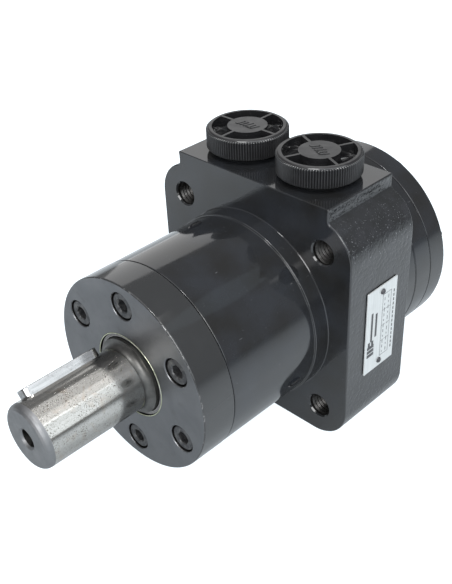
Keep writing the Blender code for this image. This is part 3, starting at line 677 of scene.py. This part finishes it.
def plate_ink():
    """Dark print on the nameplate, a little uneven."""
    look = Look("plate_ink", IOR=1.45)
    patch = look.tone(1.2, 3.0)
    colours = (patch, (0.030, 0.030, 0.034), (0.060, 0.060, 0.066))
    roughness = look.varied(2.0, 3.0, 3.0, 0.30, 0.46)
    return look.simple(colours, look.noise(0.5, 2.0), 0.003, roughness)


# ---- housing


def flange_outline():
    """Half of the flange and port block, mirrored: (x, z, edge radius) points."""
    cast_edge, face_edge = 0.8, 0.4
    c = FLANGE_HALF - FLANGE_CORNER_R
    foot_r = 2.5
    across = BLOCK_HALF + foot_r - c
    rise = math.sqrt((FLANGE_CORNER_R + foot_r) ** 2 - across**2)
    lean = math.degrees(math.atan2(rise, across))
    right = arc((c, -c), FLANGE_CORNER_R, -90, 0, 18)
    right += [(FLANGE_HALF, -20.0), (FLANGE_HALF, 0.0), (FLANGE_HALF, 20.0)]
    right += arc((c, c), FLANGE_CORNER_R, 0, lean, 14)
    right += arc((BLOCK_HALF + foot_r, c + rise), foot_r, lean - 180, -180, 6)[1:]
    points = [(x, z, cast_edge) for x, z in right]
    points.append((BLOCK_HALF, PORT_FACE - 2.4, cast_edge))
    corner = arc((BLOCK_HALF - 0.7, PORT_FACE - 0.7), 0.7, 0, 90, 4)
    points += [(x, z, face_edge) for x, z in corner]
    return points + [(-x, z, edge) for x, z, edge in reversed(points)]


def flange_block():
    """The square flange and port block, its front and rear edges rounded."""
    outline = flange_outline()
    count = len(outline)
    loops = []
    steps = 4
    for step in range(steps + 1):
        share = step / steps
        loop = []
        for k, (x, z, edge) in enumerate(outline):
            ahead, behind = outline[(k + 1) % count], outline[k - 1]
            outward = Vector((ahead[1] - behind[1], behind[0] - ahead[0])).normalized()
            inset = edge * (1.0 - math.sin(share * math.pi / 2))
            sunk = edge * (1.0 - math.cos(share * math.pi / 2))
            loop.append((x - outward.x * inset, sunk, z - outward.y * inset))
        loops.append(loop)
    loops += [[(x, BLOCK_REAR - y, z) for x, y, z in loop] for loop in reversed(loops)]
    return lofted(loops)


def flange_hole(x, z):
    """A drilled and tapped hole: chamfered mouth, straight wall and drill point."""
    clear = 2.0
    mouth = HOLE_MOUTH_R - HOLE_R
    profile = [(0.0, -clear), (HOLE_MOUTH_R + clear, -clear), (HOLE_R, mouth)]
    profile += [(HOLE_R, HOLE_DEPTH), (0.0, HOLE_DEPTH + 3.0)]
    return placed(turned(profile, ROUND), Matrix.Translation((x, 0.0, z)))


def housing_block(looks):
    """The flange and port block, cored for the barrel, drilled and tapped."""
    block = solid("housing_block", flange_block())
    core_r, core_rear = 45.0, 60.0
    core = [(0.0, PILOT_FRONT), (core_r, PILOT_FRONT)]
    core += [(core_r, core_rear), (0.0, core_rear)]
    offsets = (-HOLE_OFFSET, HOLE_OFFSET)
    corners = [(x, z) for x in offsets for z in offsets]
    carved(block, joined([turned(core)] + [flange_hole(x, z) for x, z in corners]))
    chamfer, clear = 0.8, 4.0
    rim = PORT_THREAD_R + chamfer
    spots = [middle_mm("port_plug_" + side) for side in SIDES]
    ports = []
    for spot in spots:
        profile = [(0.0, PORT_FLOOR - 1.0), (PORT_THREAD_R, PORT_FLOOR)]
        profile += [(PORT_THREAD_R, PORT_FACE - chamfer), (rim, PORT_FACE)]
        profile += [(rim, PORT_FACE + clear), (0.0, PORT_FACE + clear)]
        ports.append(upright(turned(profile, 64), (spot.x, spot.y, 0.0)))
    carved(block, joined(ports))

    threads = []
    for x, z in corners:
        turns = thread(HOLE_R - 0.03, HOLE_R - 0.75, HOLE_PITCH, 0.9, HOLE_DEPTH - 2.0)
        threads.append(placed(turns, Matrix.Translation((x, 0.0, z))))
    root, crest = PORT_THREAD_R - 0.02, PORT_THREAD_R - 0.25
    for spot in spots:
        turns = thread(root, crest, PORT_PITCH, PORT_FLOOR + 0.5, PORT_FACE - 0.9)
        threads.append(upright(turns, (spot.x, spot.y, 0.0)))
    added(block, joined(threads))

    port = middle_mm("port_plug_right")
    machined, cast, tapped = range(3)

    def pick(centre, normal):
        for x, z in corners:
            if math.hypot(centre.x - x, centre.z - z) < HOLE_R + 0.05:
                return tapped
        for side in (-1, 1):
            away = math.hypot(centre.x - side * port.x, centre.y - port.y)
            if away < PORT_THREAD_R + 0.1 and centre.z < PORT_FACE - 0.2:
                return tapped
        port_face = normal.z > 0.97 and centre.z > PORT_FACE - 0.1
        front, rear = centre.y < 1.2, normal.y > 0.97
        return machined if port_face or front or rear else cast

    settled(block, "motor_body", looks, ("housing",), pick)


def housing_barrel(looks):
    """The turned nose, pilot step and rear cylinder, with the bore through them."""
    front = JOINT + SEAM
    rear = box_mm("stator_ring")[0].y - SEAM
    seat_r, seat = 36.5, 57.1  # the recess that holds the valve plate
    drive_r = 26.0
    profile = [
        (BORE_R, front), (BODY_R, front, 0.45), (BODY_R, PILOT_FRONT - 0.02, 0.3),
        (PILOT_R, PILOT_FRONT, 0.45), (PILOT_R, -0.7), (PILOT_R + 0.15, -0.25),
        (PILOT_R + 0.7, 0.15), (PILOT_R + 0.7, 12.0), (REAR_R + 1.6, 12.0),
        (REAR_R + 1.6, BLOCK_REAR - 0.2), (REAR_R + 0.6, BLOCK_REAR + 0.5),
        (REAR_R, BLOCK_REAR + 1.8), (REAR_R, rear, 0.6), (seat_r, rear), (seat_r, seat),
        (drive_r, seat), (drive_r, 16.0), (BORE_R, 10.0),
    ]
    barrel = solid("housing_barrel", turned(rounded(profile)))
    machined, cast = range(2)

    def pick(centre, normal):
        return cast if BLOCK_REAR - 1 < centre.y < BLOCK_REAR + 1.7 else machined

    settled(barrel, "motor_body", looks, ("housing",), pick)


# ---- front cover


def front_cover(looks):
    """The bare steel disc with its spigot, seal bore and six counterbored holes."""
    low, high = box_mm("front_cover")
    face, spigot_end = low.y, high.y
    spigot_r, seal_r, lip_r = 32.2, 27.0, 20.2
    lip_front, lip_rear = -77.5, -75.5
    hole_r = 4.3
    profile = [
        (COVER_BORE_R, face + 0.25), (COVER_BORE_R + 0.25, face), (COVER_R, face, 0.7),
        (COVER_R, JOINT, 0.45), (spigot_r, JOINT), (spigot_r, spigot_end),
        (seal_r, spigot_end), (seal_r, lip_rear), (lip_r, lip_rear), (lip_r, lip_front),
        (COVER_BORE_R, lip_front),
    ]
    cover = solid("front_cover_detail", turned(rounded(profile, 5)))
    seat = box_mm("front_cover_screw_1")[0].y + 8.3
    holes = []
    for k in range(SCREWS):
        bore = [(0.0, face - 3.0), (COUNTERBORE_R + 3.35, face - 3.0)]
        bore += [(COUNTERBORE_R, face + 0.35), (COUNTERBORE_R, seat), (hole_r, seat)]
        bore += [(hole_r, JOINT + 3.0), (0.0, JOINT + 3.0)]
        spot = around(2 * math.pi * k / SCREWS, SCREW_CIRCLE_R)
        holes.append(placed(turned(bore, ROUND), Matrix.Translation(spot)))
    carved(cover, joined(holes))
    faced, painted_rim, holed = range(3)

    def pick(centre, normal):
        if math.hypot(centre.x, centre.z) > COVER_R - 0.5:
            return painted_rim
        return holed if centre.y > face + 0.4 else faced

    settled(cover, "motor_body", looks, ("front_cover",), pick)


def hexagon(across_flats, y, points, drop=0.0, from_radius=0.0):
    """A hexagonal loop; drop lowers its corners, as the chamfer on a bolt head does."""
    loop = []
    for k in range(points):
        turn = 2 * math.pi * k / points
        radius = across_flats / 2 / math.cos(turn % (math.pi / 3) - math.pi / 6)
        lowered = max(0.0, radius - from_radius) * drop
        loop.append(around(turn, radius, y + lowered))
    return loop


def cap_screws(looks):
    """Socket head cap screws: (radius, depth) loops from the socket's floor to the tip."""
    n = ROUND
    socket, head_r, head, stem_r = 6.0, 6.5, 8.0, 4.0
    for k in range(SCREWS):
        node = f"front_cover_screw_{k + 1}"
        low, high = box_mm(node)
        spot = middle_mm(node)
        length = high.y - low.y
        loops = [circle(0.0, 4.6, n), hexagon(socket, 4.0, n), hexagon(socket, 0.45, n)]
        outline = [(3.75, 0.0), (5.55, 0.0), (6.05, 0.12), (6.36, 0.42), (head_r, 0.95)]
        outline += [(head_r, 7.9), (6.3, head), (stem_r, head), (stem_r, length - 0.8)]
        outline += [(3.2, length), (0.0, length)]
        loops += [circle(radius, y, n) for radius, y in outline]
        turn = Matrix.Rotation(math.radians(17.0 + 37.0 * k), 4, "Y")
        place = Matrix.Translation((spot.x, low.y, spot.z)) @ turn
        screw = solid(f"cap_screw_{k + 1}", placed(lofted(loops), place))
        settled(screw, "motor_body", looks, (node,), sharp=28)


def dust_seal(rubber, case):
    """Wiper lip in the cover's mouth, in a plated case whose rolled rim shows."""
    low, high = box_mm("dust_seal")
    mouth, heel = low.y, high.y
    inner, outer = 19.62, 21.6
    profile = [
        (inner, mouth + 0.9), (inner + 0.25, mouth + 0.05, 0.1),
        (inner + 0.75, mouth + 0.15, 0.15), (inner + 1.0, mouth + 0.45, 0.15),
        (outer - 0.3, mouth + 0.3, 0.2), (outer, mouth + 0.7), (outer, heel),
        (inner, heel),
    ]
    seal = solid("dust_wiper", turned(rounded(profile, 3)))
    settled(seal, "motor_body", [rubber], ("dust_seal",))
    face = box_mm("front_cover")[0].y
    rim = [(21.8 + 0.22 * x, face + 0.2 + 0.24 * y) for x, y in arc((0, 0), 1, 0, 330, 11)]
    rim = solid("dust_seal_case", turned(rim))
    settled(rim, "motor_body", [case])


# ---- shaft


def keyway(length, width, bottom, top, middle):
    """A round-ended bar along the shaft at the key's angle."""
    outline = [(across, middle + along) for along, across in capsule(length, width)]
    return placed(extruded(outline, bottom, top), Matrix.Rotation(KEY_ANGLE, 4, "Y"))


def output_shaft(looks):
    """Tapped end, keyed journal, flare, shoulder, bearing seats and splined bell."""
    low, high = box_mm("output_shaft")
    end, rear = low.y, high.y
    bell_r, spline_r = 26.0, 12.9
    flare = [(19.5 - x, -87.6 + y) for x, y in arc((0.0, 0.0), 3.6, 0, 84, 12)]
    flare.append((SHOULDER_R - 0.1, -83.95))
    profile = [
        (0.0, end + TAP_DEPTH + 2.6), (TAP_R, end + TAP_DEPTH), (TAP_R, end + 1.1),
        (5.6, end, 0.2), (14.0, end, 0.5), (15.1, end + 0.9, 1.2),
        (15.75, end + 2.1, 1.8), (SHAFT_R, end + 3.6, 2.0), *flare,
        (SHOULDER_R, -77.0, 0.3), (19.0, -77.0, 0.2), (19.0, -52.2), (22.0, -52.2, 0.4),
        (22.0, -32.7), (bell_r, -32.7, 0.5), (bell_r, rear, 0.5), (14.5, rear),
        (13.2, rear - 6.0), (spline_r, rear - 6.0), (spline_r, rear - 29.0),
        (0.0, rear - 31.0),
    ]
    shaft = solid("output_shaft_detail", turned(rounded(profile)))
    middle = KEY_FRONT + KEY_LENGTH / 2
    slot = keyway(KEY_LENGTH + 0.6, KEY_WIDTH + 0.16, KEY_BOTTOM_R - 0.3, 22.0, middle)
    carved(shaft, slot)
    added(shaft, thread(TAP_R - 0.02, TAP_R - 0.45, 1.25, end + 7.0, end + TAP_DEPTH - 1))
    # the tap and shoulder faces take the darker steel, whose colour is partly painted
    # shade
    ground, end_face, tap, shoulder = range(4)

    def pick(centre, normal):
        radius = math.hypot(centre.x, centre.z)
        if radius < TAP_R + 0.05 and centre.y < end + TAP_DEPTH + 3:
            return tap
        if centre.y < end + 3.3:
            return end_face
        return shoulder if centre.y > -87.4 else ground

    settled(shaft, "shaft", looks, ("output_shaft",), pick)


def shaft_key(looks):
    middle = KEY_FRONT + KEY_LENGTH / 2
    bar_stock = keyway(KEY_LENGTH, KEY_WIDTH, KEY_BOTTOM_R, KEY_TOP_R, middle)
    key = solid("shaft_key_detail", bar_stock)
    softened(key, 0.45, 3, 50)
    settled(key, "shaft", looks, ("shaft_key",))


# ---- ports


def grip_ring(bottom, top, crest, valley):
    """The knurled side of a plug: upright ridges that fade out at both ends."""
    per_ridge = 6
    shape = [0.0, 0.35, 0.9, 1.0, 0.9, 0.35]
    count = GRIP_RIDGES * per_ridge
    levels = [(bottom, 0.0), (bottom + 0.35, 0.8), (bottom + 0.7, 1.0)]
    levels += [(top - 0.75, 1.0), (top - 0.3, 0.75), (top, 0.05)]
    inner = valley - 1.2
    loops = [circle(inner, bottom, count)]
    for y, share in levels:
        loop = []
        for k in range(count):
            height = shape[k % per_ridge] * share
            radius = valley + (crest - valley) * height
            loop.append(around(2 * math.pi * k / count, radius, y))
        loops.append(loop)
    loops.append(circle(inner, top, count))
    return lofted(loops, closed=True)


def plug_pocket(turn, floor, top):
    """The space between two spokes, with a rounded floor edge left by its draft."""
    hub_r, rim_r, half_spoke, fillet = 10.1, 17.9, 0.7, 1.4
    loops = []
    quarter = arc((0, 0), 1, 90, 0, 5)
    sides = [(floor + fillet * (1 - b), fillet * (1 - a)) for a, b in quarter]
    for z, draft in sides + [(top, 0.0)]:
        inner_r, outer_r = hub_r + draft, rim_r - draft
        inner = math.degrees(math.asin((half_spoke + draft) / inner_r))
        outer = math.degrees(math.asin((half_spoke + draft) / outer_r))
        outline = arc((0, 0), outer_r, turn + outer, turn + 90 - outer, 18)
        outline += arc((0, 0), inner_r, turn + 90 - inner, turn + inner, 12)
        loops.append([(x, y, z) for x, y in outline])
    return lofted(loops)


def hub_marks(top):
    """Plain raised, slanted bars on the hub, in place of moulded text."""
    bars = []
    lean, sunk, proud = 0.35, 0.3, 0.24
    for x, y, width, height in (
        (-4.6, 0.0, 1.5, 4.6), (-2.2, 0.0, 0.9, 4.6), (0.3, 0.3, 0.9, 5.4),
        (2.6, -0.2, 1.5, 4.6), (5.2, -0.2, 1.1, 4.6), (-3.4, 2.0, 2.4, 0.9),
        (3.9, -2.1, 2.6, 0.9),
    ):
        outline = []
        for a, b in ((-1, -1), (1, -1), (1, 1), (-1, 1)):
            up = y + b * height / 2
            outline.append((x + a * width / 2 + lean * up, up))
        bars.append(extruded(outline, top - sunk, top + proud))
    return bars


def port_plug(side, looks):
    """A transit plug: knurled head with four pockets, and a hollow threaded stem."""
    node = "port_plug_" + side
    low, high = box_mm(node)
    spot = middle_mm(node)
    thread_end, underside, floor = low.z, 71.9, 75.6
    top = high.z - 0.25
    root_r, hollow_r, head_r = 9.2, 7.6, 20.2
    profile = [
        (hollow_r, thread_end), (root_r, thread_end, 0.4), (root_r, underside),
        (head_r, underside, 0.4), (head_r, top - 1.0), (19.9, top - 0.35, 0.3),
        (19.3, top, 0.3), (0.0, top), (0.0, underside + 2.0), (hollow_r, underside + 2.0),
    ]
    plug = solid("transit_plug_" + side, upright(turned(rounded(profile, 3), 96)))
    pockets = [plug_pocket(90.0 * k, floor, top + 3.0) for k in range(4)]
    carved(plug, joined(pockets))
    softened(plug, 0.38, 2, 40)
    grip = upright(grip_ring(underside + 0.2, top - 0.6, 20.9, head_r))
    turns = upright(thread(root_r, 10.1, PORT_PITCH, thread_end + 0.4, underside - 0.6))
    added(plug, joined([grip, turns] + hub_marks(top)))
    turn = Matrix.Rotation(PLUG_TURN[side], 4, "Z")
    plug.data.transform(Matrix.Translation((spot.x * MM, spot.y * MM, 0.0)) @ turn)
    dull, glossy = range(2)

    def pick(centre, normal):
        away = math.hypot(centre.x - spot.x, centre.y - spot.y)
        pocket = away < 18.4 and centre.z < top - 0.04
        ridge_top = away > 19.9 and centre.z > top - 2.2
        return glossy if pocket or ridge_top else dull

    settled(plug, side + "_plug", looks, (node,), pick, 40)


def plug_washer(side, looks):
    node = "plug_washer_" + side
    low, high = box_mm(node)
    spot = middle_mm(node)
    inner, outer = PORT_THREAD_R + 0.3, (high.x - low.x) / 2
    profile = [(inner, low.z, 0.3), (outer, low.z, 0.8), (outer, high.z, 0.8)]
    profile.append((inner, high.z, 0.3))
    washer = upright(turned(rounded(profile), 64), (spot.x, spot.y, 0.0))
    washer = solid("seal_washer_" + side, washer)
    settled(washer, side + "_washer", looks, (node,))


# ---- rear


def rear_rings(looks):
    """The stator ring and the end cover, with the wear plate's seat inside."""
    low, high = box_mm("stator_ring")
    bore_r, seat_r, seat = 37.4, 36.5, 85.1
    outline = [(bore_r, low.y), (REAR_R, low.y, 1.0), (REAR_R, high.y, 0.5)]
    outline.append((bore_r, high.y))
    ring = solid("stator_ring_detail", turned(rounded(outline)))
    settled(ring, "motor_body", looks, ("stator_ring",))
    low, high = box_mm("end_cover")
    profile = [
        (0.0, seat), (seat_r, seat), (seat_r, low.y), (REAR_R, low.y, 0.5),
        (REAR_R, high.y - 0.9, 0.3), (REAR_R - 0.9, high.y, 0.3), (0.0, high.y),
    ]
    cover = solid("end_cover_detail", turned(rounded(profile)))
    settled(cover, "motor_body", looks, ("end_cover",))


def end_bolts(looks):
    """Hex head bolts with a washer face; the first is turned as the photograph shows."""
    n = ROUND
    seat = box_mm("end_cover")[1].y + 0.05
    flat_r = HEX_HEAD / 2 * 0.93
    face_r, stem_r = HEX_HEAD / 2 - 0.2, 4.0
    for k in range(BOLTS):
        node = f"end_cover_bolt_{k + 1}"
        low, high = box_mm(node)
        spot = middle_mm(node)
        angle = math.atan2(spot.x, spot.z) + (0.0 if k else FIRST_BOLT_TURN)
        top = high.y
        stem = [(0.0, low.y), (3.3, low.y), (stem_r, low.y + 0.8), (stem_r, seat)]
        stem += [(face_r, seat), (face_r, seat + 0.3)]
        loops = [circle(radius, y, n) for radius, y in stem]
        loops += [
            hexagon(HEX_HEAD - 0.1, seat + 0.35, n),
            hexagon(HEX_HEAD, seat + 0.5, n),
            hexagon(HEX_HEAD, top - 0.25, n, drop=-0.58, from_radius=flat_r + 0.3),
        ]
        crown = [(flat_r, top - 0.03), (flat_r - 0.3, top), (0.0, top)]
        loops += [circle(radius, y, n) for radius, y in crown]
        place = Matrix.Translation((spot.x, 0.0, spot.z)) @ Matrix.Rotation(angle, 4, "Y")
        bolt = solid(f"hex_bolt_{k + 1}", placed(lofted(loops), place))
        settled(bolt, "motor_body", looks, (node,), sharp=28)


# ---- nameplate


def on_plate(outline, low, high):
    """An outline given as (y, z) on the +X side, raised from x low to x high."""
    return lofted([[(x, y, z) for y, z in outline] for x in (low, high)])


def bar(y, z, width, height):
    """A rectangle centred on (y, z)."""
    w, h = width / 2, height / 2
    return [(y - w, z - h), (y + w, z - h), (y + w, z + h), (y - w, z + h)]


def nameplate(plate_look, ink):
    """The plate, and plain printed bars and a ruled table in place of its text."""
    low, high = box_mm("nameplate")
    centre = middle_mm("nameplate")
    width, height = high.y - low.y, high.z - low.z
    corners = [(*corner, 0.5) for corner in bar(centre.y, centre.z, width, height)]
    plate = solid("nameplate_detail", on_plate(rounded(corners, 6), low.x, high.x))
    softened(plate, 0.12, 2, 40)
    settled(plate, "motor_body", [plate_look], ("nameplate",))

    y, z = centre.y, centre.z
    line, sunk, proud = 0.24, 0.02, 0.03
    marks = [bar(y - 7.6, z - 10.0 + s, 5.4, 1.9) for s in (-3.6, -1.2, 1.2)]
    marks += [bar(y - 9.0 + 2.7 * k, z - 6.6, 1.7, 2.4) for k in range(2)]
    marks += [bar(y - 7.4 + 3.4 * k, z + 3.0, 1.5, 17.0 - 3.0 * k) for k in range(2)]
    box_y, box_z, box_w, box_h = y + 3.9, z, 6.6, 37.0
    marks += [bar(box_y, box_z + s * box_h / 2, box_w + line, line) for s in (-1, 1)]
    marks += [bar(box_y + s * box_w / 2, box_z, line, box_h) for s in (-1, 1)]
    for k in range(1, 4):
        marks.append(bar(box_y, box_z + box_h * (k / 4 - 0.5), box_w, line * 0.7))
    for k in range(11):
        low_z = box_z - 16.6 + 3.2 * k
        marks.append(bar(box_y - 1.7, low_z, 0.4, 1.2 + 1.2 * (k % 3) / 2))
        marks.append(bar(box_y + 1.3, low_z + 0.3, 0.4, 2.2 - 1.1 * (k % 2)))
    marks += [bar(y + 9.6, z - 17.0 + 2.6 * k, 0.8, 1.7) for k in range(14)]
    raised = [on_plate(mark, high.x - sunk, high.x + proud) for mark in marks]
    printed = solid("nameplate_marks", joined(raised))
    settled(printed, "motor_body", [ink])


def rivets(looks):
    """Round-headed drive rivets, their stems through the plate."""
    seat = box_mm("nameplate")[1].x
    for end in ("upper", "lower"):
        node = "nameplate_rivet_" + end
        low, high = box_mm(node)
        spot = middle_mm(node)
        head_r = (high.z - low.z) / 2 * 0.76
        height = high.x - seat
        dome = arc((0.0, 0.0), 1.0, 8, 90, 7)
        profile = [(0.0, low.x), (1.1, low.x), (1.1, seat), (head_r * 0.96, seat)]
        profile += [(head_r * a, seat + height * b) for a, b in dome]
        turn = Matrix.Rotation(-math.pi / 2, 4, "Z")
        place = Matrix.Translation((0.0, spot.y, spot.z)) @ turn
        rivet = solid("drive_rivet_" + end, placed(turned(profile, 40), place))
        settled(rivet, "motor_body", looks, (node,))


# ---- inside


def inner_parts(steel, rubber):
    """The sealed inner parts keep their CAD shapes and take detailed finishes."""
    soft = {"shaft_seal", "cover_o_ring", "body_seal_front", "body_seal_rear"}
    for name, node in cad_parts.items():
        if node.hide_render:
            continue
        look = rubber if name in soft else steel
        if not node.data.materials:
            node.data.materials.append(look)
        for place in node.material_slots:
            place.material = look


# ---- camera, floor and light


def camera():
    """The photograph's viewpoint; the azimuth turns from -Y towards +X."""
    azimuth, elevation = math.radians(CAMERA_AZIMUTH), math.radians(CAMERA_ELEVATION)
    roll = math.radians(CAMERA_ROLL)
    flat = math.cos(elevation)
    back = Vector(
        (math.sin(azimuth) * flat, -math.cos(azimuth) * flat, math.sin(elevation))
    )
    right = (-back).cross(Vector((0.0, 0.0, 1.0))).normalized()
    up = right.cross(-back)
    across = right * math.cos(roll) + up * math.sin(roll)
    upward = up * math.cos(roll) - right * math.sin(roll)
    view = Matrix((across, upward, back)).transposed().to_4x4()
    view.translation = Vector(CAMERA_PLACE)
    data = bpy.data.cameras.new("camera")
    data.lens = CAMERA_LENS
    data.clip_start = 0.01
    made = linked("camera", data)
    made.matrix_world = view
    bpy.context.scene.camera = made


def panel(name, centre, aim, width, height, radiance, colour=(1.0, 1.0, 1.0)):
    """A soft rectangular light that reflections see but the camera doesn't."""
    data = bpy.data.lights.new(name, "AREA")
    data.shape = "RECTANGLE"
    data.size, data.size_y = width, height
    data.energy = radiance * math.pi * width * height
    data.color = colour
    made = linked(name, data)
    made.location = centre
    direction = Vector(aim) - Vector(centre)
    made.rotation_euler = direction.to_track_quat("-Z", "Y").to_euler()
    made.visible_camera = False


def pale_floor():
    """A white floor, with a painted shadow that dims it to reflections in a strip below
    the motor, and a painted falloff far right.
    """
    floor_z = cad_bounds[0][2] - 0.0002
    mesh = bmesh.new()
    bmesh.ops.create_circle(mesh, cap_ends=True, segments=64, radius=6.0)
    mesh.transform(Matrix.Translation((0.0, 0.0, floor_z)))
    data = stored("floor", mesh)
    floor = linked("floor", data)
    look = Look("white_floor", roughness=0.9)
    look.shader.inputs["Emission Color"].default_value = (0.88, 0.95, 1.0, 1.0)
    look.shader.inputs["Specular IOR Level"].default_value = 0.0
    across = look.add("SeparateXYZ", {"Vector": look.place}).outputs["X"]
    # painted shadow and falloff: dimmer glow and colour in a strip under the motor and far
    # to the right
    right, left = look.spread(across, 0.06, 0.11), look.spread(across, -0.14, -0.22)
    strip = look.spread(look.maths("MAXIMUM", right, left), 0.0, 1.0, 0.70, 1.0)
    fade = look.spread(look.spread(across, 0.2, 0.8), 0.0, 1.0, 1.0, 0.44)
    painted_floor_shade = look.maths("MULTIPLY", strip, fade)
    seen = look.add("LightPath").outputs["Is Camera Ray"]
    reflected = look.maths("MULTIPLY", painted_floor_shade, FLOOR_REFLECTED)
    glow = look.spread(seen, 0.0, 1.0, reflected, SEEN_WHITE)
    look.tree.links.new(glow, look.shader.inputs["Emission Strength"])
    paper = look.mixed(look.noise(900.0, 2.0), (0.43, 0.455, 0.48), (0.47, 0.50, 0.52))
    colour = look.mixed(painted_floor_shade, (0.0, 0.0, 0.0), paper)
    data.materials.append(look.finish(colour))


def pale_world():
    world = bpy.data.worlds.new("studio")
    bpy.context.scene.world = world
    world.use_nodes = True
    tree = world.node_tree
    background = tree.nodes["Background"]
    background.inputs["Color"].default_value = (0.97, 0.98, 1.0, 1.0)
    path = tree.nodes.new("ShaderNodeLightPath")
    strength = tree.nodes.new("ShaderNodeMapRange")
    strength.inputs["To Min"].default_value = WORLD_REFLECTED
    strength.inputs["To Max"].default_value = SEEN_WHITE
    tree.links.new(path.outputs["Is Camera Ray"], strength.inputs["Value"])
    tree.links.new(strength.outputs["Result"], background.inputs["Strength"])


def lights():
    """Each panel's centre, aim, width and height in metres, radiance and colour."""
    aim = (0.0, -0.03, 0.0)
    panel("rear_left_sheet", (-1.028, 0.969, 0.44), aim, 0.886, 1.20, 0.97)
    panel("overhead_panel", (-0.20, -0.24, 1.10), (-0.20, -0.24, 0.0), 0.80, 1.48, 0.95)
    panel("overhead_right", (0.55, -0.22, 1.10), (0.55, -0.22, 0.0), 0.70, 1.54, 1.50)
    panel("right_panel", (1.10, -0.20, 0.69), aim, 1.70, 1.25, 1.7, (0.90, 0.96, 1.0))
    panel("front_panel", (0.59, -1.21, 0.66), aim, 0.70, 0.70, 8.0)
    panel("lamp", (0.12, -0.25, 1.30), aim, 0.18, 0.18, 45.0)
    panel("rear_glow", (0.527, 0.752, 1.057), aim, 0.35, 0.35, 0.25, (0.70, 0.88, 1.0))
    bpy.context.scene.view_settings.view_transform = "Standard"


def main():
    camera()
    pale_floor()
    pale_world()
    lights()
    # hole: the dark hole steel, whose colour is painted shade in holes and counterbores
    gloss, cast, hole = gloss_paint(), cast_paint(), shaded_hole_steel()
    oxide, rubber, steel = oxide_steel(), seal_rubber(), bearing_steel()
    shaft, shoulder = shaft_steel(), shaded_shoulder_steel()
    outside = moulded_plastic("moulded_plastic", 0.32, 0.42)
    pocket = moulded_plastic("glossy_plastic", 0.05, 0.14, 1.85)
    housing_barrel([gloss, cast])
    housing_block([gloss, cast, hole])
    front_cover([cover_steel(), cover_rim(), hole])
    cap_screws([oxide])
    dust_seal(wiper_rubber(), case_metal())
    output_shaft([shaft, end_steel(), shoulder, shoulder])
    shaft_key([key_steel()])
    for side in SIDES:
        port_plug(side, [outside, pocket])
        plug_washer(side, [rubber])
    rear_rings([gloss])
    end_bolts([oxide])
    ink = plate_ink()
    nameplate(plate_metal(), ink)
    rivets([ink])
    inner_parts(steel, rubber)


main()
